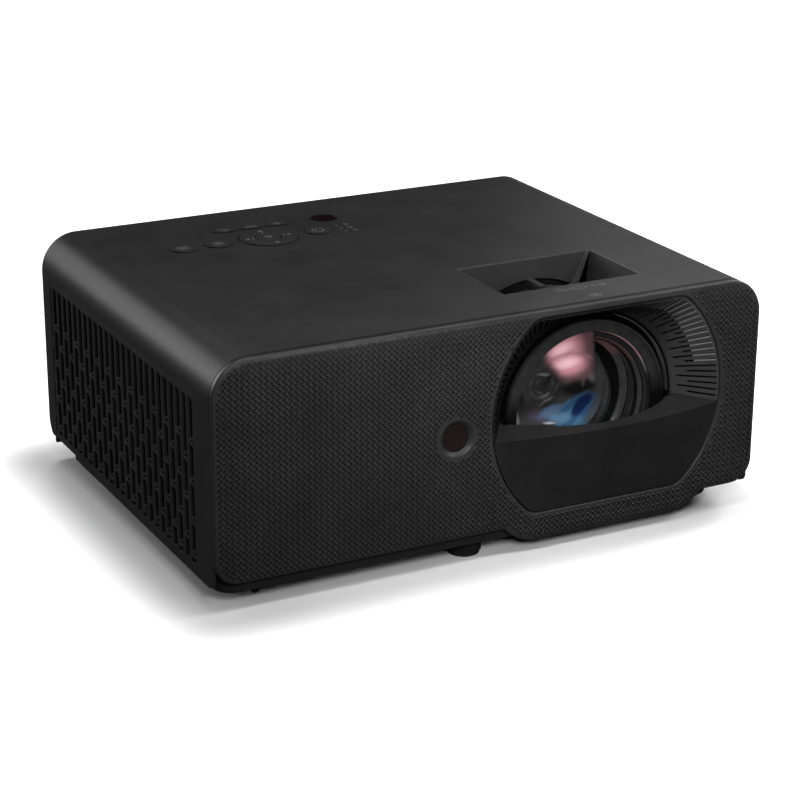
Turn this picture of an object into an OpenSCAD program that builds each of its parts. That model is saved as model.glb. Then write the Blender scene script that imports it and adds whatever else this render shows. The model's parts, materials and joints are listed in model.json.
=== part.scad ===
// Home projector: short-throw laser unit with a large front lens,
// top keypad, slotted side vents and screw-adjustable feet.
// Millimetres, +Z up, front faces -Y, standing on Z = 0.

/* [Body] */
// Width of the casing, side to side
body_w = 416; // [408:2:430]
// Depth of the casing, front panel face to rear edge
body_d = 320; // [316:1:330]
// Height of the top face above the surface it stands on
top_z = 174; // [172:1:178]
// Radius of the long rounded edges between top and sides
edge_r = 27; // [22:1:30]
// Wall thickness of the moulded covers
wall = 2.6; // [2.2:0.1:3.0]
// How far the lens cover bows out in front of the panel
bulge = 11; // [8:0.5:12]
// Thickness of the front panel
panel_t = 5.2; // [4.6:0.2:5.4]

/* [Lens] */
// Lens axis, distance right of the middle
lens_x = 85.5; // [84:0.5:87]
// Lens axis, height above the surface
lens_z = 86.5; // [86:0.25:87.5]
// Radius of the round part of the lens opening
opening_r = 91.9; // [90:0.5:93]
// Radius of the flat ring round the front lens
lens_ring_r = 66.2; // [65:0.2:67]
// Clear radius inside that ring
lens_clear_r = 55.5; // [54:0.5:56]
// Depth of the ring's face behind the front panel
lens_depth = 29; // [28:0.5:31]

/* [Keys] */
// Radius of the round keys
key_r = 9.7; // [9:0.1:10]
// Radius of the direction pad
pad_r = 21.6; // [20:0.2:22]
// Radius of the middle key
ok_r = 9.3; // [9:0.1:9.5]
// Height that keys stand proud of the top
key_proud = 0.8; // [0.4:0.1:1.2]

/* [Vents] */
// Spacing of the vertical slots
slot_pitch = 10.76; // [10.6:0.02:10.8]
// Width of one slot
slot_w = 7.2; // [6.4:0.2:7.6]
// Number of slot columns on each side
slot_cols = 26; // [20:1:26]

/* [Feet] */
// Radius of the adjustable feet
foot_r = 11.8; // [11:0.2:12]
// Radius of the foot's threaded stem
stem_r = 3; // [2.8:0.1:3.2]

/* [Hidden] */

$fn = 96;

// the front panel's face; positions behind it are given as depths
yf = -(body_d + bulge) / 2 + bulge;
hw = body_w / 2;
panel_z = 21;        // lower edge of the front panel
side_z = 17.4;       // lower edge of the side walls
floor_z = 12.7;      // underside of the bottom cover
trough_z = 8;        // underside of the trough below the lens
groove = 0.6;        // joint between front panel and cover
under = top_z - wall; // underside of the top wall
open_z = lens_z + 12.1; // middle of the lens opening
open_dx = 53.9;
open_dz = 56.2;
open_a = atan2(open_dz, open_dx);

key_y = 240;         // depth of the round keys' row
oval_y = 270.6;      // depth of the oval keys' row
pad_x = -60.5;
board_z = top_z - 12; // underside of the keypad board

foot_front = [-14, 24];
foot_rl = [-165, 285];
foot_rr = [165, 285];
boss_xy = [[-193, 18], [193, 64.6], [-193, 303], [193, 303]];

black = [0.035, 0.035, 0.038];
dark = [0.06, 0.06, 0.065];
steel = [0.62, 0.63, 0.65];
alu = [0.75, 0.76, 0.78];

// ---------- helpers ----------

// extrude an (x, z) drawing from depth s0 to depth s1
module ext_y(s0, s1) translate([0, yf + s1, 0]) rotate([90, 0, 0])
    linear_extrude(s1 - s0) children();

// extrude a (depth, z) drawing from x0 to x1
module ext_x(x0, x1) translate([x0, yf, 0]) rotate([90, 0, 90])
    linear_extrude(x1 - x0) children();

// extrude an (x, depth) drawing from z0 to z1
module ext_z(z0, z1) translate([0, yf, z0]) linear_extrude(z1 - z0) children();

// a box given by x, depth and z ranges
module box(x, s, z) translate([x[0], yf + s[0], z[0]])
    cube([x[1] - x[0], s[1] - s[0], z[1] - z[0]]);

// an upright cylinder at (x, depth)
module post(x, s, z0, z1, r) translate([x, yf + s, z0]) cylinder(r = r, h = z1 - z0);

// a cylinder about the lens axis, from depth s0 to s1
module lens_cyl(s0, s1, r, r2 = -1) translate([lens_x, yf + s1, lens_z]) rotate([90, 0, 0])
    cylinder(r1 = r2 < 0 ? r : r2, r2 = r, h = s1 - s0);

module lens_tube(s0, s1, ro, ri) difference() {
    lens_cyl(s0, s1, ro);
    lens_cyl(s0 - 1, s1 + 1, ri);
}

function arc(cx, cz, r, a0, a1, n) =
    [for (k = [0:n]) [cx + r * cos(a0 + (a1 - a0) * k / n), cz + r * sin(a0 + (a1 - a0) * k / n)]];

// outline of the lens opening, drawn in by i (out when negative)
function opening_pts(i) = concat(
    arc(lens_x, open_z, opening_r - i, -open_a, open_a, 32),
    arc(lens_x + open_dx, open_z + open_dz, 14 - i, open_a, 90, 8),
    arc(lens_x - open_dx, open_z + open_dz, 14 - i, 90, 180 - open_a, 8),
    arc(lens_x, open_z, opening_r - i, 180 - open_a, 180 + open_a, 32),
    arc(lens_x - open_dx, open_z - open_dz, 14 - i, 180 + open_a, 270, 8),
    arc(lens_x + open_dx, open_z - open_dz, 14 - i, 270, 360 - open_a, 8));

module opening2d(i) polygon(opening_pts(i));

// outline of the casing drawn in by i, from height z0 up
module shell2d(i, z0) {
    c = hw - edge_r;
    translate([-hw + i, z0]) square([2 * (hw - i), top_z - edge_r - z0]);
    translate([-c, z0]) square([2 * c, top_z - i - z0]);
    for (x = [-c, c]) translate([x, top_z - edge_r]) circle(r = edge_r - i);
}

// the part of a corner outside its rounding; d points to the edge
module corner2d(s, z, r, d) difference() {
    translate([d > 0 ? s - r : s - 1, z - 1]) square([r + 1, r + 1]);
    translate([s - d * r, z + r]) circle(r = r);
}

module stadium(w, h) {
    square([w - h, h], center = true);
    for (x = [-1, 1]) translate([x * (w - h) / 2, 0]) circle(r = h / 2, $fn = 48);
}

// ---------- covers ----------

module top_holes(g) {
    for (x = [-127.7, -100.3, -20.4]) post(x, key_y, under - 1, top_z + 1, key_r + g);
    post(pad_x, key_y, under - 1, top_z + 1, pad_r + 0.5);
    for (x = [-82.2, -60.9, -40]) translate([x, yf + oval_y, under - 1])
        linear_extrude(wall + 2) stadium(17.7 + 2 * g, 8.8 + 2 * g);
    post(-1.2, oval_y, under - 1, top_z + 1, 10.4);
    for (s = [231, 239.5, 248]) post(-1.4, s, under - 1, top_z + 1, 1.2);
}

module top_cover() color(black) {
    difference() {
        union() {
            difference() {
                ext_y(panel_t + groove, body_d) difference() {
                    shell2d(0, side_z);
                    shell2d(wall, side_z - 5);
                }
                // vent windows in both side walls
                box([-hw - 1, -hw + wall + 1], [30.5, 304.5], [22.3, 142.5]);
                box([hw - wall - 1, hw + 1], [30.5, 304.5], [22.3, 142.5]);
                // opening above the lens rings
                box([25, 134.5], [42.5, 109], [under - 1, top_z + 1]);
                top_holes(0.35);
            }
            // screw posts, ending inside the rounded edges
            intersection() {
                ext_y(panel_t + groove, body_d) shell2d(1, side_z);
                for (p = boss_xy) post(p[0], p[1], 30.3, under + 0.5, 5);
            }
        }
        for (p = boss_xy) post(p[0], p[1], 20, 48, 1.5);
        // rounded lower corners of the side walls
        ext_x(-hw - 1, hw + 1) union() {
            corner2d(body_d, side_z, 16, 1);
            corner2d(panel_t + groove, side_z, 6, -1);
            // the wall stops a little higher at the back
            translate([264, side_z - 1]) square([60, 4]);
        }
    }
}

// vertical slots with a slanted foot, and the small three-cornered
// opening below each bridge; alternate columns are staggered
module grille2d() {
    difference() {
        translate([30.5, 22.3]) square([274, 120.2]);
        for (c = [0:slot_cols - 1]) {
            s0 = 32.9 + c * slot_pitch;
            s1 = s0 + slot_w;
            levels = c % 2 == 0 ? [111.7, 84.1, 56.5, 32.6] : [98.3, 70.7, 43.1];
            n = len(levels);
            for (k = [0:n - 1]) {
                zt = k == 0 ? 139.6 : levels[k - 1] - 4.4;
                zb = levels[k];
                polygon([[s0, zb + 2.2], [s1, zb], [s1, zt], [s0 + 1.6, zt], [s0, zt - 1.8]]);
                polygon([[s0, zb + 0.6], [s0, zb - 2.1], [s1 - 1.2, zb - 2.1]]);
            }
            if (c % 2 == 0)
                polygon([[s0, 26.6], [s1, 24.6], [s1, 28.2], [s0, 28.2]]);
            else
                polygon([[s0, 26.8], [s1, 24.6], [s1, 38.7], [s0 + 1.6, 38.7], [s0, 36.9]]);
        }
    }
}

module left_side_grille() color(black) ext_x(-hw, -hw + wall) grille2d();
module right_side_grille() color(black) ext_x(hw - wall, hw) grille2d();

// outline of the bottom cover
module plan2d(i) {
    x = hw - 5.4 - i;
    r = 13.5 - i;
    translate([-x, 6 + i + r]) square([2 * x, 306 - 2 * i - 2 * r]);
    translate([-x + r, 6 + i]) square([2 * (x - r), 306 - 2 * i]);
    for (px = [-x + r, x - r], ps = [6 + i + r, 312 - i - r])
        translate([px, ps]) circle(r = r, $fn = 64);
}

module bottom_cover() color(dark) {
    difference() {
        union() {
            difference() {
                ext_z(floor_z, 27) plan2d(0);
                ext_z(floor_z + 3, 28) plan2d(2.4);
                // the front right corner is stepped up
                box([151, hw], [0, 23], [floor_z - 1, 18.6]);
            }
            intersection() {
                ext_z(floor_z, 27) plan2d(0);
                union() {
                    box([148.6, hw], [6, 25.4], [18.6, 21]);
                    box([148.6, 151], [6, 25.4], [floor_z, 21]);
                    box([148.6, hw], [23, 25.4], [floor_z, 21]);
                }
            }
            // trough under the lens
            box([20, 151], [6, 122], [trough_z, floor_z + 3]);
            // screw posts, foot bosses, engine posts
            for (p = boss_xy) post(p[0], p[1], floor_z, 30, 5);
            for (p = [foot_front, foot_rl, foot_rr]) post(p[0], p[1], floor_z, 46, 7.5);
            for (x = [28, 143], s = [132, 208]) post(x, s, floor_z, 35.9, 5);
            for (x = [-155, -74], s = [128, 202]) post(x, s, floor_z, 37.9, 4);
        }
        box([22.6, 148.4], [8.4, 119.6], [trough_z + 2.6, 40]);
        for (p = boss_xy) {
            post(p[0], p[1], floor_z - 1, 22, 3.3);
            post(p[0], p[1], 20, 31, 1.7);
        }
        for (p = [foot_front, foot_rl, foot_rr])
            post(p[0], p[1], floor_z - 1, 50, stem_r + 0.06);
        // threaded holes for a ceiling bracket
        for (x = [-120, 120], s = [150, 270]) post(x, s, floor_z - 1, floor_z + 9, 2);
        // bevelled lower edges at the back
        for (d = [-1, 1]) translate([d * (hw - 5.4), yf + 264, floor_z]) rotate([0, 45, 0])
            translate([-3.5, 0, -3.5]) cube([7, 60, 7]);
        // air inlets in the floor
        for (k = [0:9]) box([-150 + k * 8, -146.5 + k * 8], [40, 90], [floor_z - 1, floor_z + 4]);
    }
    // walls of the ceiling bracket inserts
    for (x = [-120, 120], s = [150, 270]) difference() {
        post(x, s, floor_z + 3, floor_z + 9, 4.5);
        post(x, s, floor_z, floor_z + 10, 2);
    }
}

module front_panel() color(black) difference() {
    ext_y(0, panel_t) difference() {
        union() {
            intersection() {
                shell2d(0, 0);
                union() {
                    translate([-hw, panel_z + 17]) square([body_w, 200]);
                    translate([-hw + 17, panel_z]) square([body_w - 34, 40]);
                    for (x = [-1, 1]) translate([x * (hw - 17), panel_z + 17]) circle(r = 17);
                }
            }
            // apron that follows the lens opening below the panel
            intersection() {
                opening2d(-20);
                translate([-20, 0]) square([210, 60]);
            }
        }
        opening2d(0);
    }
    // receiver window and its dished rim
    translate([-33.2, yf + 6, 93.9]) rotate([90, 0, 0]) cylinder(r = 10, h = 8);
    translate([-33.2, yf + 2.2, 93.9]) rotate([90, 0, 0]) cylinder(r1 = 9.9, r2 = 12.7, h = 2.3);
}

module front_ir_window() color([0.12, 0.02, 0.03])
    translate([-33.2, yf + 4.6, 93.9]) rotate([90, 0, 0]) cylinder(r = 9.9, h = 2.2);

module rear_panel() color(black) difference() {
    ext_y(313, 316) difference() {
        shell2d(wall + 0.1, 13);
        // mains inlet, picture inputs, sound and data sockets, lock slot
        translate([-163.8, 27.8]) square([27.6, 20.4]);
        for (x = [-20, 12]) translate([x - 7.7, 47.1]) square([15.4, 6.0]);
        translate([43.2, 46.6]) square([13.6, 6.3]);
        translate([80, 50]) circle(r = 3.6, $fn = 48);
        translate([180, 28]) square([7, 3]);
        // vents
        for (k = [0:21], j = [0:1]) translate([-150 + k * 9, 112 + j * 24]) square([4, 19]);
    }
}

module lens_funnel() color(black) difference() {
    intersection() {
        ext_y(1.4, 31.5) opening2d(0.35);
        box([-20, 190], [0, 32], [lens_z + 0.4, 180]);
    }
    hull() {
        ext_y(1.3, 1.5) opening2d(2.6);
        lens_cyl(lens_depth - 0.2, lens_depth, 70.3);
    }
    lens_cyl(20, 40, 70.3);
}

// smooth lower lens cover: bowed face, level shelf, hollow behind
module cover_block(i, ztop) {
    intersection() {
        ext_y(1.2, 31.8) opening2d(1 + i);
        box([-20, 190], [-20, 40], [0, ztop]);
    }
    intersection() {
        ext_y(-14, 1.3) opening2d(1 + i);
        translate([lens_x, yf - bulge, lens_z]) rotate([12, 0, 0])
            translate([0, 371, -150]) cylinder(r = 371, h = 240, $fn = 360);
        box([-20, 190], [-20, 40], [0, ztop]);
    }
}

module lens_lower_cover() color(black) difference() {
    cover_block(0, lens_z);
    translate([0, 2.4, 0]) cover_block(2.4, lens_z - 2.4);
    // hollow edge of the shelf, clear of the lens
    post(lens_x, 94, lens_z - 6, lens_z + 2, 93.6);
    lens_cyl(25.5, 40, 68.5);
    box([0, 171], [31, 40], [0, 100]);
}

module ring_well() color(black) difference() {
    box([22, 137.5], [40, 112], [136, under]);
    intersection() {
        // slope at the back
        ext_x(0, 160) polygon([[42.5, 120], [42.5, 190], [109 + 8, 180], [109, under], [97, under - 12], [90, 120]]);
        // slopes at the sides
        ext_y(30, 120) polygon([[46, 120], [46, under - 20], [25, under], [16, 182], [144, 182], [134.5, under], [126, under - 12], [123, 120]]);
    }
    // room for the rings and their tabs
    lens_cyl(35, 98, 78.2);
    lens_cyl(97, 113, 73);
}

// ---------- windows and keys ----------

module top_ir_window() color([0.03, 0.01, 0.015]) post(-1.2, oval_y, under - 1.5, top_z - 0.25, 10.3);

module status_light_pipes() color([0.8, 0.8, 0.78])
    for (s = [231, 239.5, 248]) post(-1.4, s, board_z + 2, top_z + 0.05, 1.1);

module round_key(x) {
    post(x, key_y, top_z - 6.5, top_z + key_proud, key_r);
    post(x, key_y, top_z - 4.9, top_z - 2.9, key_r + 1.5);
}

module oval_key(x) {
    translate([x, yf + oval_y, top_z - 6.5]) linear_extrude(6.5 + key_proud) stadium(17.7, 8.8);
    translate([x, yf + oval_y, top_z - 4.9]) linear_extrude(2) stadium(19.7, 10.8);
}

module power_button() color(dark) round_key(-20.4);
module source_key() color(dark) round_key(-127.7);
module menu_key() color(dark) round_key(-100.3);
module back_key() color(dark) oval_key(-82.2);
module mode_key() color(dark) oval_key(-60.9);
module info_key() color(dark) oval_key(-40);

module ok_button() color(dark) {
    post(pad_x, key_y, top_z - 7.4, top_z + key_proud + 0.1, ok_r);
    post(pad_x, key_y, top_z - 7.4, top_z - 6.3, ok_r + 1.9);
}

module direction_pad() color(dark) difference() {
    union() {
        post(pad_x, key_y, top_z - 5.6, top_z + key_proud, pad_r);
        post(pad_x, key_y, top_z - 5.2, top_z - 4, pad_r + 1.8);
    }
    post(pad_x, key_y, top_z - 10, top_z + 5, ok_r + 0.55);
}

module direction_pad_frame() color([0.2, 0.2, 0.2]) difference() {
    post(pad_x, key_y, top_z - 9, top_z - 7, 16);
    post(pad_x, key_y, top_z - 10, top_z - 6, 12);
}

module keypad_board() color([0.02, 0.12, 0.05]) {
    box([-142, 12], [224, 282], [board_z, board_z + 1.6]);
    for (x = [-127.7, -100.3, -20.4]) post(x, key_y, board_z + 1.6, top_z - 8, 3);
    for (x = [-82.2, -60.9, -40]) post(x, oval_y, board_z + 1.6, top_z - 8, 2.5);
    post(pad_x, key_y, board_z + 1.6, top_z - 8.7, 2.5);
    for (a = [0:90:270]) post(pad_x + 18.6 * cos(a), key_y + 18.6 * sin(a), board_z + 1.6, top_z - 7.4, 1.7);
}

// ---------- lens ----------

module lens_barrel() color(dark) difference() {
    union() {
        lens_cyl(37, 112, 64);
        lens_cyl(40, 44.5, 66.5);      // front stop of the focus ring
        lens_cyl(67.5, 71.5, 67);      // collar between the rings
        lens_cyl(96.5, 101, 67);       // rear stop of the zoom ring
        lens_cyl(107, 112, 71);        // mounting flange
        lens_cyl(111, 150, 34);        // rear tube
    }
    lens_cyl(30, 108, 61);
    lens_cyl(100, 160, 31);
    for (a = [45:90:315]) translate([lens_x + 67.6 * cos(a), yf + 113, lens_z + 67.6 * sin(a)])
        rotate([90, 0, 0]) cylinder(r = 1.6, h = 8, $fn = 32);
}

module front_lens_cell() color(dark) difference() {
    union() {
        lens_cyl(lens_depth, lens_depth + 4, lens_ring_r);
        lens_cyl(lens_depth + 3, 70, 60.93);
    }
    // stepped throat in front of the glass
    lens_cyl(lens_depth - 1, lens_depth + 5, lens_clear_r);
    lens_cyl(lens_depth + 4, lens_depth + 10, lens_clear_r - 2.5);
    lens_cyl(lens_depth + 9, lens_depth + 15, lens_clear_r - 5.5);
    lens_cyl(lens_depth + 14, lens_depth + 18, 46.9);
    lens_cyl(lens_depth + 17, 61, 48.02);
    lens_cyl(60, 72, 45);
}

// front element: domed glass, held in the cell
module front_lens() color([0.2, 0.25, 0.3, 0.5]) translate([lens_x, yf + 60.5, lens_z]) rotate([90, 0, 0])
    rotate_extrude() polygon(concat(
        [[0, 6], [20, 4.6], [34, 1.6], [41, 0], [48, 0], [48, 12]],
        [for (r = [46, 42, 36, 30, 24, 18, 12, 6, 0]) [r, 12 + (1 - pow(r / 47, 2)) * 9]]));

module knurl(s0, s1, r, n, a0, a1) for (k = [0:n - 1]) {
    a = a0 + (a1 - a0) * k / (n - 1);
    translate([lens_x, yf, lens_z]) rotate([0, -a, 0])
        translate([r - 1, s0, -1]) cube([2.2, s1 - s0, 2]);
}

module focus_ring() color(dark) {
    difference() {
        union() {
            lens_cyl(45, 67, 71);
            knurl(46.5, 65.5, 71, 40, 0, 351);
        }
        lens_cyl(40, 70, 64.06);
    }
    // finger tab
    translate([lens_x, yf, lens_z]) rotate([0, 14, 0]) ext_tab(49, 64);
}

module ext_tab(s0, s1) translate([0, s1, 0]) rotate([90, 0, 0]) linear_extrude(s1 - s0)
    polygon([[-6, 70.5], [-1.6, 76.6], [1.6, 76.6], [6, 70.5], [6, 68], [-6, 68]]);

module zoom_ring() color(dark) {
    difference() {
        union() {
            lens_cyl(72, 96, 71);
            knurl(73.5, 94.5, 71, 40, 0, 351);
        }
        lens_cyl(70, 98, 64.06);
    }
    translate([lens_x, yf, lens_z]) rotate([0, -8, 0]) ext_tab(75, 94);
}

module zoom_lens_cell() color(dark) difference() {
    lens_cyl(79, 97, 60.93);
    lens_cyl(78, 84, 44);
    lens_cyl(83, 93, 48.02);
    lens_cyl(92, 98, 44);
}

module biconvex(s, r, t, d) translate([lens_x, yf + s, lens_z]) rotate([90, 0, 0])
    rotate_extrude() polygon(concat([[0, -t / 2 - d], for (k = [1:6]) [r * 0.9 * k / 6, -t / 2 - d * (1 - pow(k / 6, 2))]],
        [[r, -t / 2], [r, t / 2]], [for (k = [6:-1:0]) [r * 0.9 * k / 6, t / 2 + d * (1 - pow(k / 6, 2))]]));

module zoom_lens() color([0.2, 0.25, 0.3, 0.5]) biconvex(88, 47.97, 8, 4);
module rear_lens() color([0.2, 0.25, 0.3, 0.5]) biconvex(132, 30.97, 6, 5);

module lens_mount_plate() color(alu) difference() {
    box([18, 153], [112, 118], [17, 152]);
    lens_cyl(110, 120, 34.2);
    for (a = [45:90:315]) translate([lens_x + 67.6 * cos(a), yf + 119, lens_z + 67.6 * sin(a)])
        rotate([90, 0, 0]) cylinder(r = 1.4, h = 8, $fn = 32);
}

// ---------- light engine ----------

module engine_housing() color(alu) {
    difference() {
        box([20, 151], [118, 222], [36, 136]);
        box([23, 148], [121, 219], [39, 140]);
        lens_cyl(116, 122, 34.2);
        box([68, 103], [216, 224], [70, 96]);
        translate([18, yf + 166, 86]) rotate([0, 90, 0]) cylinder(r = 9, h = 6);
    }
    // motor and shaft of the phosphor wheel
    translate([22, yf + 186, 86]) rotate([0, 90, 0]) {
        cylinder(r = 9, h = 4.5);
        cylinder(r = 1.5, h = 14);
    }
}

module engine_lid() color(steel) difference() {
    box([20, 151], [118, 222], [136, 138]);
    for (x = [26, 145], s = [124, 216]) post(x, s, 135, 140, 1.6);
}

// colour wheel with its phosphor track, turning beside the laser window
module phosphor_wheel() color([0.85, 0.8, 0.35]) translate([29, yf + 186, 86]) rotate([0, 90, 0]) {
    difference() {
        union() {
            cylinder(r = 30, h = 1.2);
            translate([0, 0, -1.5]) cylinder(r = 11, h = 7);
        }
        translate([0, 0, -3]) cylinder(r = 1.52, h = 12);
    }
}

module dmd_board() color([0.02, 0.12, 0.05]) {
    box([48, 124], [225, 226.6], [46, 128]);
    box([71, 100], [222.1, 225], [73, 93]);
}

module dmd_heat_sink() color(alu) {
    box([60, 112], [228, 232], [56, 118]);
    for (k = [0:10]) box([61 + k * 4.9, 62.4 + k * 4.9], [231, 262], [56, 118]);
    box([74, 97], [226.6, 229], [75, 91]);
}

module laser_module() color(steel) {
    box([-58, 8], [140, 196], [52, 120]);
    translate([8, yf + 166, 86]) rotate([0, 90, 0]) cylinder(r = 8, h = 13.5);
    for (s = [150, 168, 186], z = [64, 86, 108]) translate([-50 + 24, yf + s, z])
        rotate([0, 0, 0]) translate([0, 0, 0]) cube([4, 4, 4], center = true);
}

module heat_pipe_cuts(r) for (z = [62, 86, 110], s = [152, 184])
    translate([-163, yf + s, z]) rotate([0, 90, 0]) cylinder(r = r, h = 105, $fn = 48);

module laser_heat_sink() color(alu) difference() {
    union() {
        box([-66, -58.1], [120, 210], [38, 134]);
        for (k = [0:19]) box([-161 + k * 4.7, -160 + k * 4.7], [120, 210], [38, 134]);
        box([-161, -60], [124, 128], [38, 46]);
        box([-161, -60], [202, 206], [38, 46]);
    }
    heat_pipe_cuts(3.05);
}

module heat_pipes() color([0.72, 0.45, 0.2]) heat_pipe_cuts(3);

// ---------- fans ----------

// 92 mm fan, axis along X, motor side at the far face
module fan_frame(x, s, z, flip) translate([x, yf + s, z]) rotate([0, flip ? -90 : 90, 0]) {
    difference() {
        translate([-46, -46, 0]) cube([92, 92, 25]);
        translate([0, 0, -1]) cylinder(r = 44, h = 30);
        for (a = [-41.2, 41.2], b = [-41.2, 41.2]) translate([a, b, -1]) cylinder(r = 2.2, h = 30, $fn = 32);
    }
    cylinder(r = 18, h = 3);
    for (a = [0:90:270]) rotate([0, 0, a + 20]) translate([16, -1.5, 0]) cube([29, 3, 3]);
    cylinder(r = 1.5, h = 20, $fn = 48);
}

module fan_rotor(x, s, z, flip) translate([x, yf + s, z]) rotate([0, flip ? -90 : 90, 0]) {
    difference() {
        union() {
            translate([0, 0, 4]) cylinder(r = 19, h = 19);
            for (k = [0:6]) rotate([0, 0, k * 360 / 7]) translate([29.5, 0, 13.5])
                rotate([38, 0, 0]) cube([25, 1.8, 20], center = true);
        }
        translate([0, 0, 3]) cylinder(r = 1.55, h = 22, $fn = 48);
        translate([0, 0, 3]) cylinder(r = 16.5, h = 4);
    }
}

module intake_fan_frame() color(dark) fan_frame(-174, 165, 86, true);
module intake_fan_rotor() color([0.1, 0.1, 0.1]) fan_rotor(-174, 165, 86, true);
module front_exhaust_fan_frame() color(dark) fan_frame(174, 116, 86, false);
module front_exhaust_fan_rotor() color([0.1, 0.1, 0.1]) fan_rotor(174, 116, 86, false);
module rear_exhaust_fan_frame() color(dark) fan_frame(174, 212, 86, false);
module rear_exhaust_fan_rotor() color([0.1, 0.1, 0.1]) fan_rotor(174, 212, 86, false);

// ---------- electronics ----------

module main_board() color([0.02, 0.12, 0.05]) {
    box([-48, 128], [292, 293.6], [34, 126]);
    for (x = [-30, 20, 70]) box([x, x + 26], [288.5, 292], [72, 98]);
    for (x = [-36, 0, 40, 90]) translate([x, yf + 292, 112]) rotate([90, 0, 0]) cylinder(r = 4, h = 9, $fn = 32);
}

module hdmi_ports() color(steel) for (x = [-20, 12]) difference() {
    box([x - 7.5, x + 7.5], [293.6, 316.4], [47.3, 52.9]);
    box([x - 7, x + 7], [306, 317], [47.8, 49.6]);
    box([x - 7, x + 7], [306, 317], [50.6, 52.4]);
}

module usb_port() color(steel) difference() {
    box([43.4, 56.6], [293.6, 316.4], [46.8, 52.7]);
    box([43.9, 56.1], [304, 317], [47.3, 49.2]);
    box([43.9, 56.1], [304, 317], [51.2, 52.2]);
}

module audio_jack() color(dark) difference() {
    union() {
        box([74, 86], [293.6, 312.8], [44, 56]);
        translate([80, yf + 316.4, 50]) rotate([90, 0, 0]) cylinder(r = 3.5, h = 6);
    }
    translate([80, yf + 317, 50]) rotate([90, 0, 0]) cylinder(r = 1.8, h = 15);
}

// three-pin mains inlet
module ac_inlet() color(black) {
    difference() {
        box([-163.6, -136.4], [296, 317.6], [28, 48]);
        box([-162, -138], [302, 319], [30, 46]);
    }
    for (p = [[-157, 39.5], [-143, 39.5], [-150, 35.5]])
        box([p[0] - 1, p[0] + 1], [299, 311], [p[1] - 2, p[1] + 2]);
    box([-168, -163.5], [310.4, 312.8], [30, 46]);
    box([-136.5, -132], [310.4, 312.8], [30, 46]);
}

module power_supply_board() color([0.35, 0.25, 0.05]) {
    box([-186, -56], [214, 274], [26, 27.6]);
    box([-130, -98], [222, 256], [27.6, 58]);
    for (x = [-86, -70]) post(x, 236, 27.6, 62, 7);
    box([-176, -150], [224, 248], [27.6, 50]);
    box([-92, -62], [254, 258], [27.6, 66]);
    for (x = [-178, -62], s = [219, 269]) post(x, s, floor_z + 3, 26, 3);
}

module speaker(x0, s0) {
    box([x0, x0 + 28], [s0, s0 + 36], [40, 122]);
    for (z = [58, 102]) translate([x0 + 14, yf + s0 + 18, z]) rotate([0, x0 < 0 ? -90 : 90, 0])
        difference() {
            cylinder(r = 15, h = 16, $fn = 48);
            translate([0, 0, 14.5]) cylinder(r = 13, h = 3, $fn = 48);
        }
}

module speakers() color(dark) {
    speaker(-202, 60);
    speaker(174, 261);
}

// ---------- feet and screws ----------

module foot_screw(p) difference() {
    union() {
        post(p[0], p[1], 2.5, floor_z - 0.3, foot_r - 0.8);
        post(p[0], p[1], floor_z - 2.6, floor_z - 0.3, foot_r);
        for (a = [0:45:315]) translate([p[0], yf + p[1], 2.5]) rotate([0, 0, a])
            translate([foot_r - 2, -3.3, 0]) cube([1.9, 6.6, floor_z - 2.9]);
        post(p[0], p[1], 8, 44, stem_r);
    }
    post(p[0], p[1], 1, 8.3, 2.56);
}

module foot_sole(p) {
    post(p[0], p[1], 0, 2.2, foot_r - 0.8);
    post(p[0], p[1], 2, 8, 2.5);
}

module front_foot_screw() color(dark) foot_screw(foot_front);
module front_foot_sole() color(black) foot_sole(foot_front);
module rear_left_foot_screw() color(dark) foot_screw(foot_rl);
module rear_left_foot_sole() color(black) foot_sole(foot_rl);
module rear_right_foot_screw() color(dark) foot_screw(foot_rr);
module rear_right_foot_sole() color(black) foot_sole(foot_rr);

// fixed foot at the front right and stop peg at the front left
module front_steady_feet() color(dark) {
    post(187.4, 48, 0, floor_z, 12.4);
    post(-172.9, 18.4, 5, floor_z, 2.9);
}

module case_screws() color(steel) for (p = boss_xy) difference() {
    union() {
        post(p[0], p[1], 19.4, 22, 2.8);
        post(p[0], p[1], 22, 44, 1.49);
    }
    for (a = [0, 90]) translate([p[0], yf + p[1], 19]) rotate([0, 0, a])
        translate([-1.8, -0.4, 0]) cube([3.6, 0.8, 1.8]);
}

top_cover();
bottom_cover();
front_panel();
rear_panel();
left_side_grille();
right_side_grille();
lens_funnel();
lens_lower_cover();
ring_well();
front_ir_window();
top_ir_window();
status_light_pipes();
power_button();
ok_button();
direction_pad();
direction_pad_frame();
source_key();
menu_key();
back_key();
mode_key();
info_key();
keypad_board();
lens_barrel();
front_lens_cell();
front_lens();
focus_ring();
zoom_ring();
zoom_lens_cell();
zoom_lens();
rear_lens();
lens_mount_plate();
engine_housing();
engine_lid();
phosphor_wheel();
dmd_board();
dmd_heat_sink();
laser_module();
laser_heat_sink();
heat_pipes();
intake_fan_frame();
intake_fan_rotor();
front_exhaust_fan_frame();
front_exhaust_fan_rotor();
rear_exhaust_fan_frame();
rear_exhaust_fan_rotor();
main_board();
hdmi_ports();
usb_port();
audio_jack();
ac_inlet();
power_supply_board();
speakers();
front_foot_screw();
front_foot_sole();
rear_left_foot_screw();
rear_left_foot_sole();
rear_right_foot_screw();
rear_right_foot_sole();
front_steady_feet();
case_screws();
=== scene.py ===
import bpy
import bmesh
import json
import math
import numpy as np
from mathutils import Matrix, Vector
from mathutils.geometry import delaunay_2d_cdt


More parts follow.
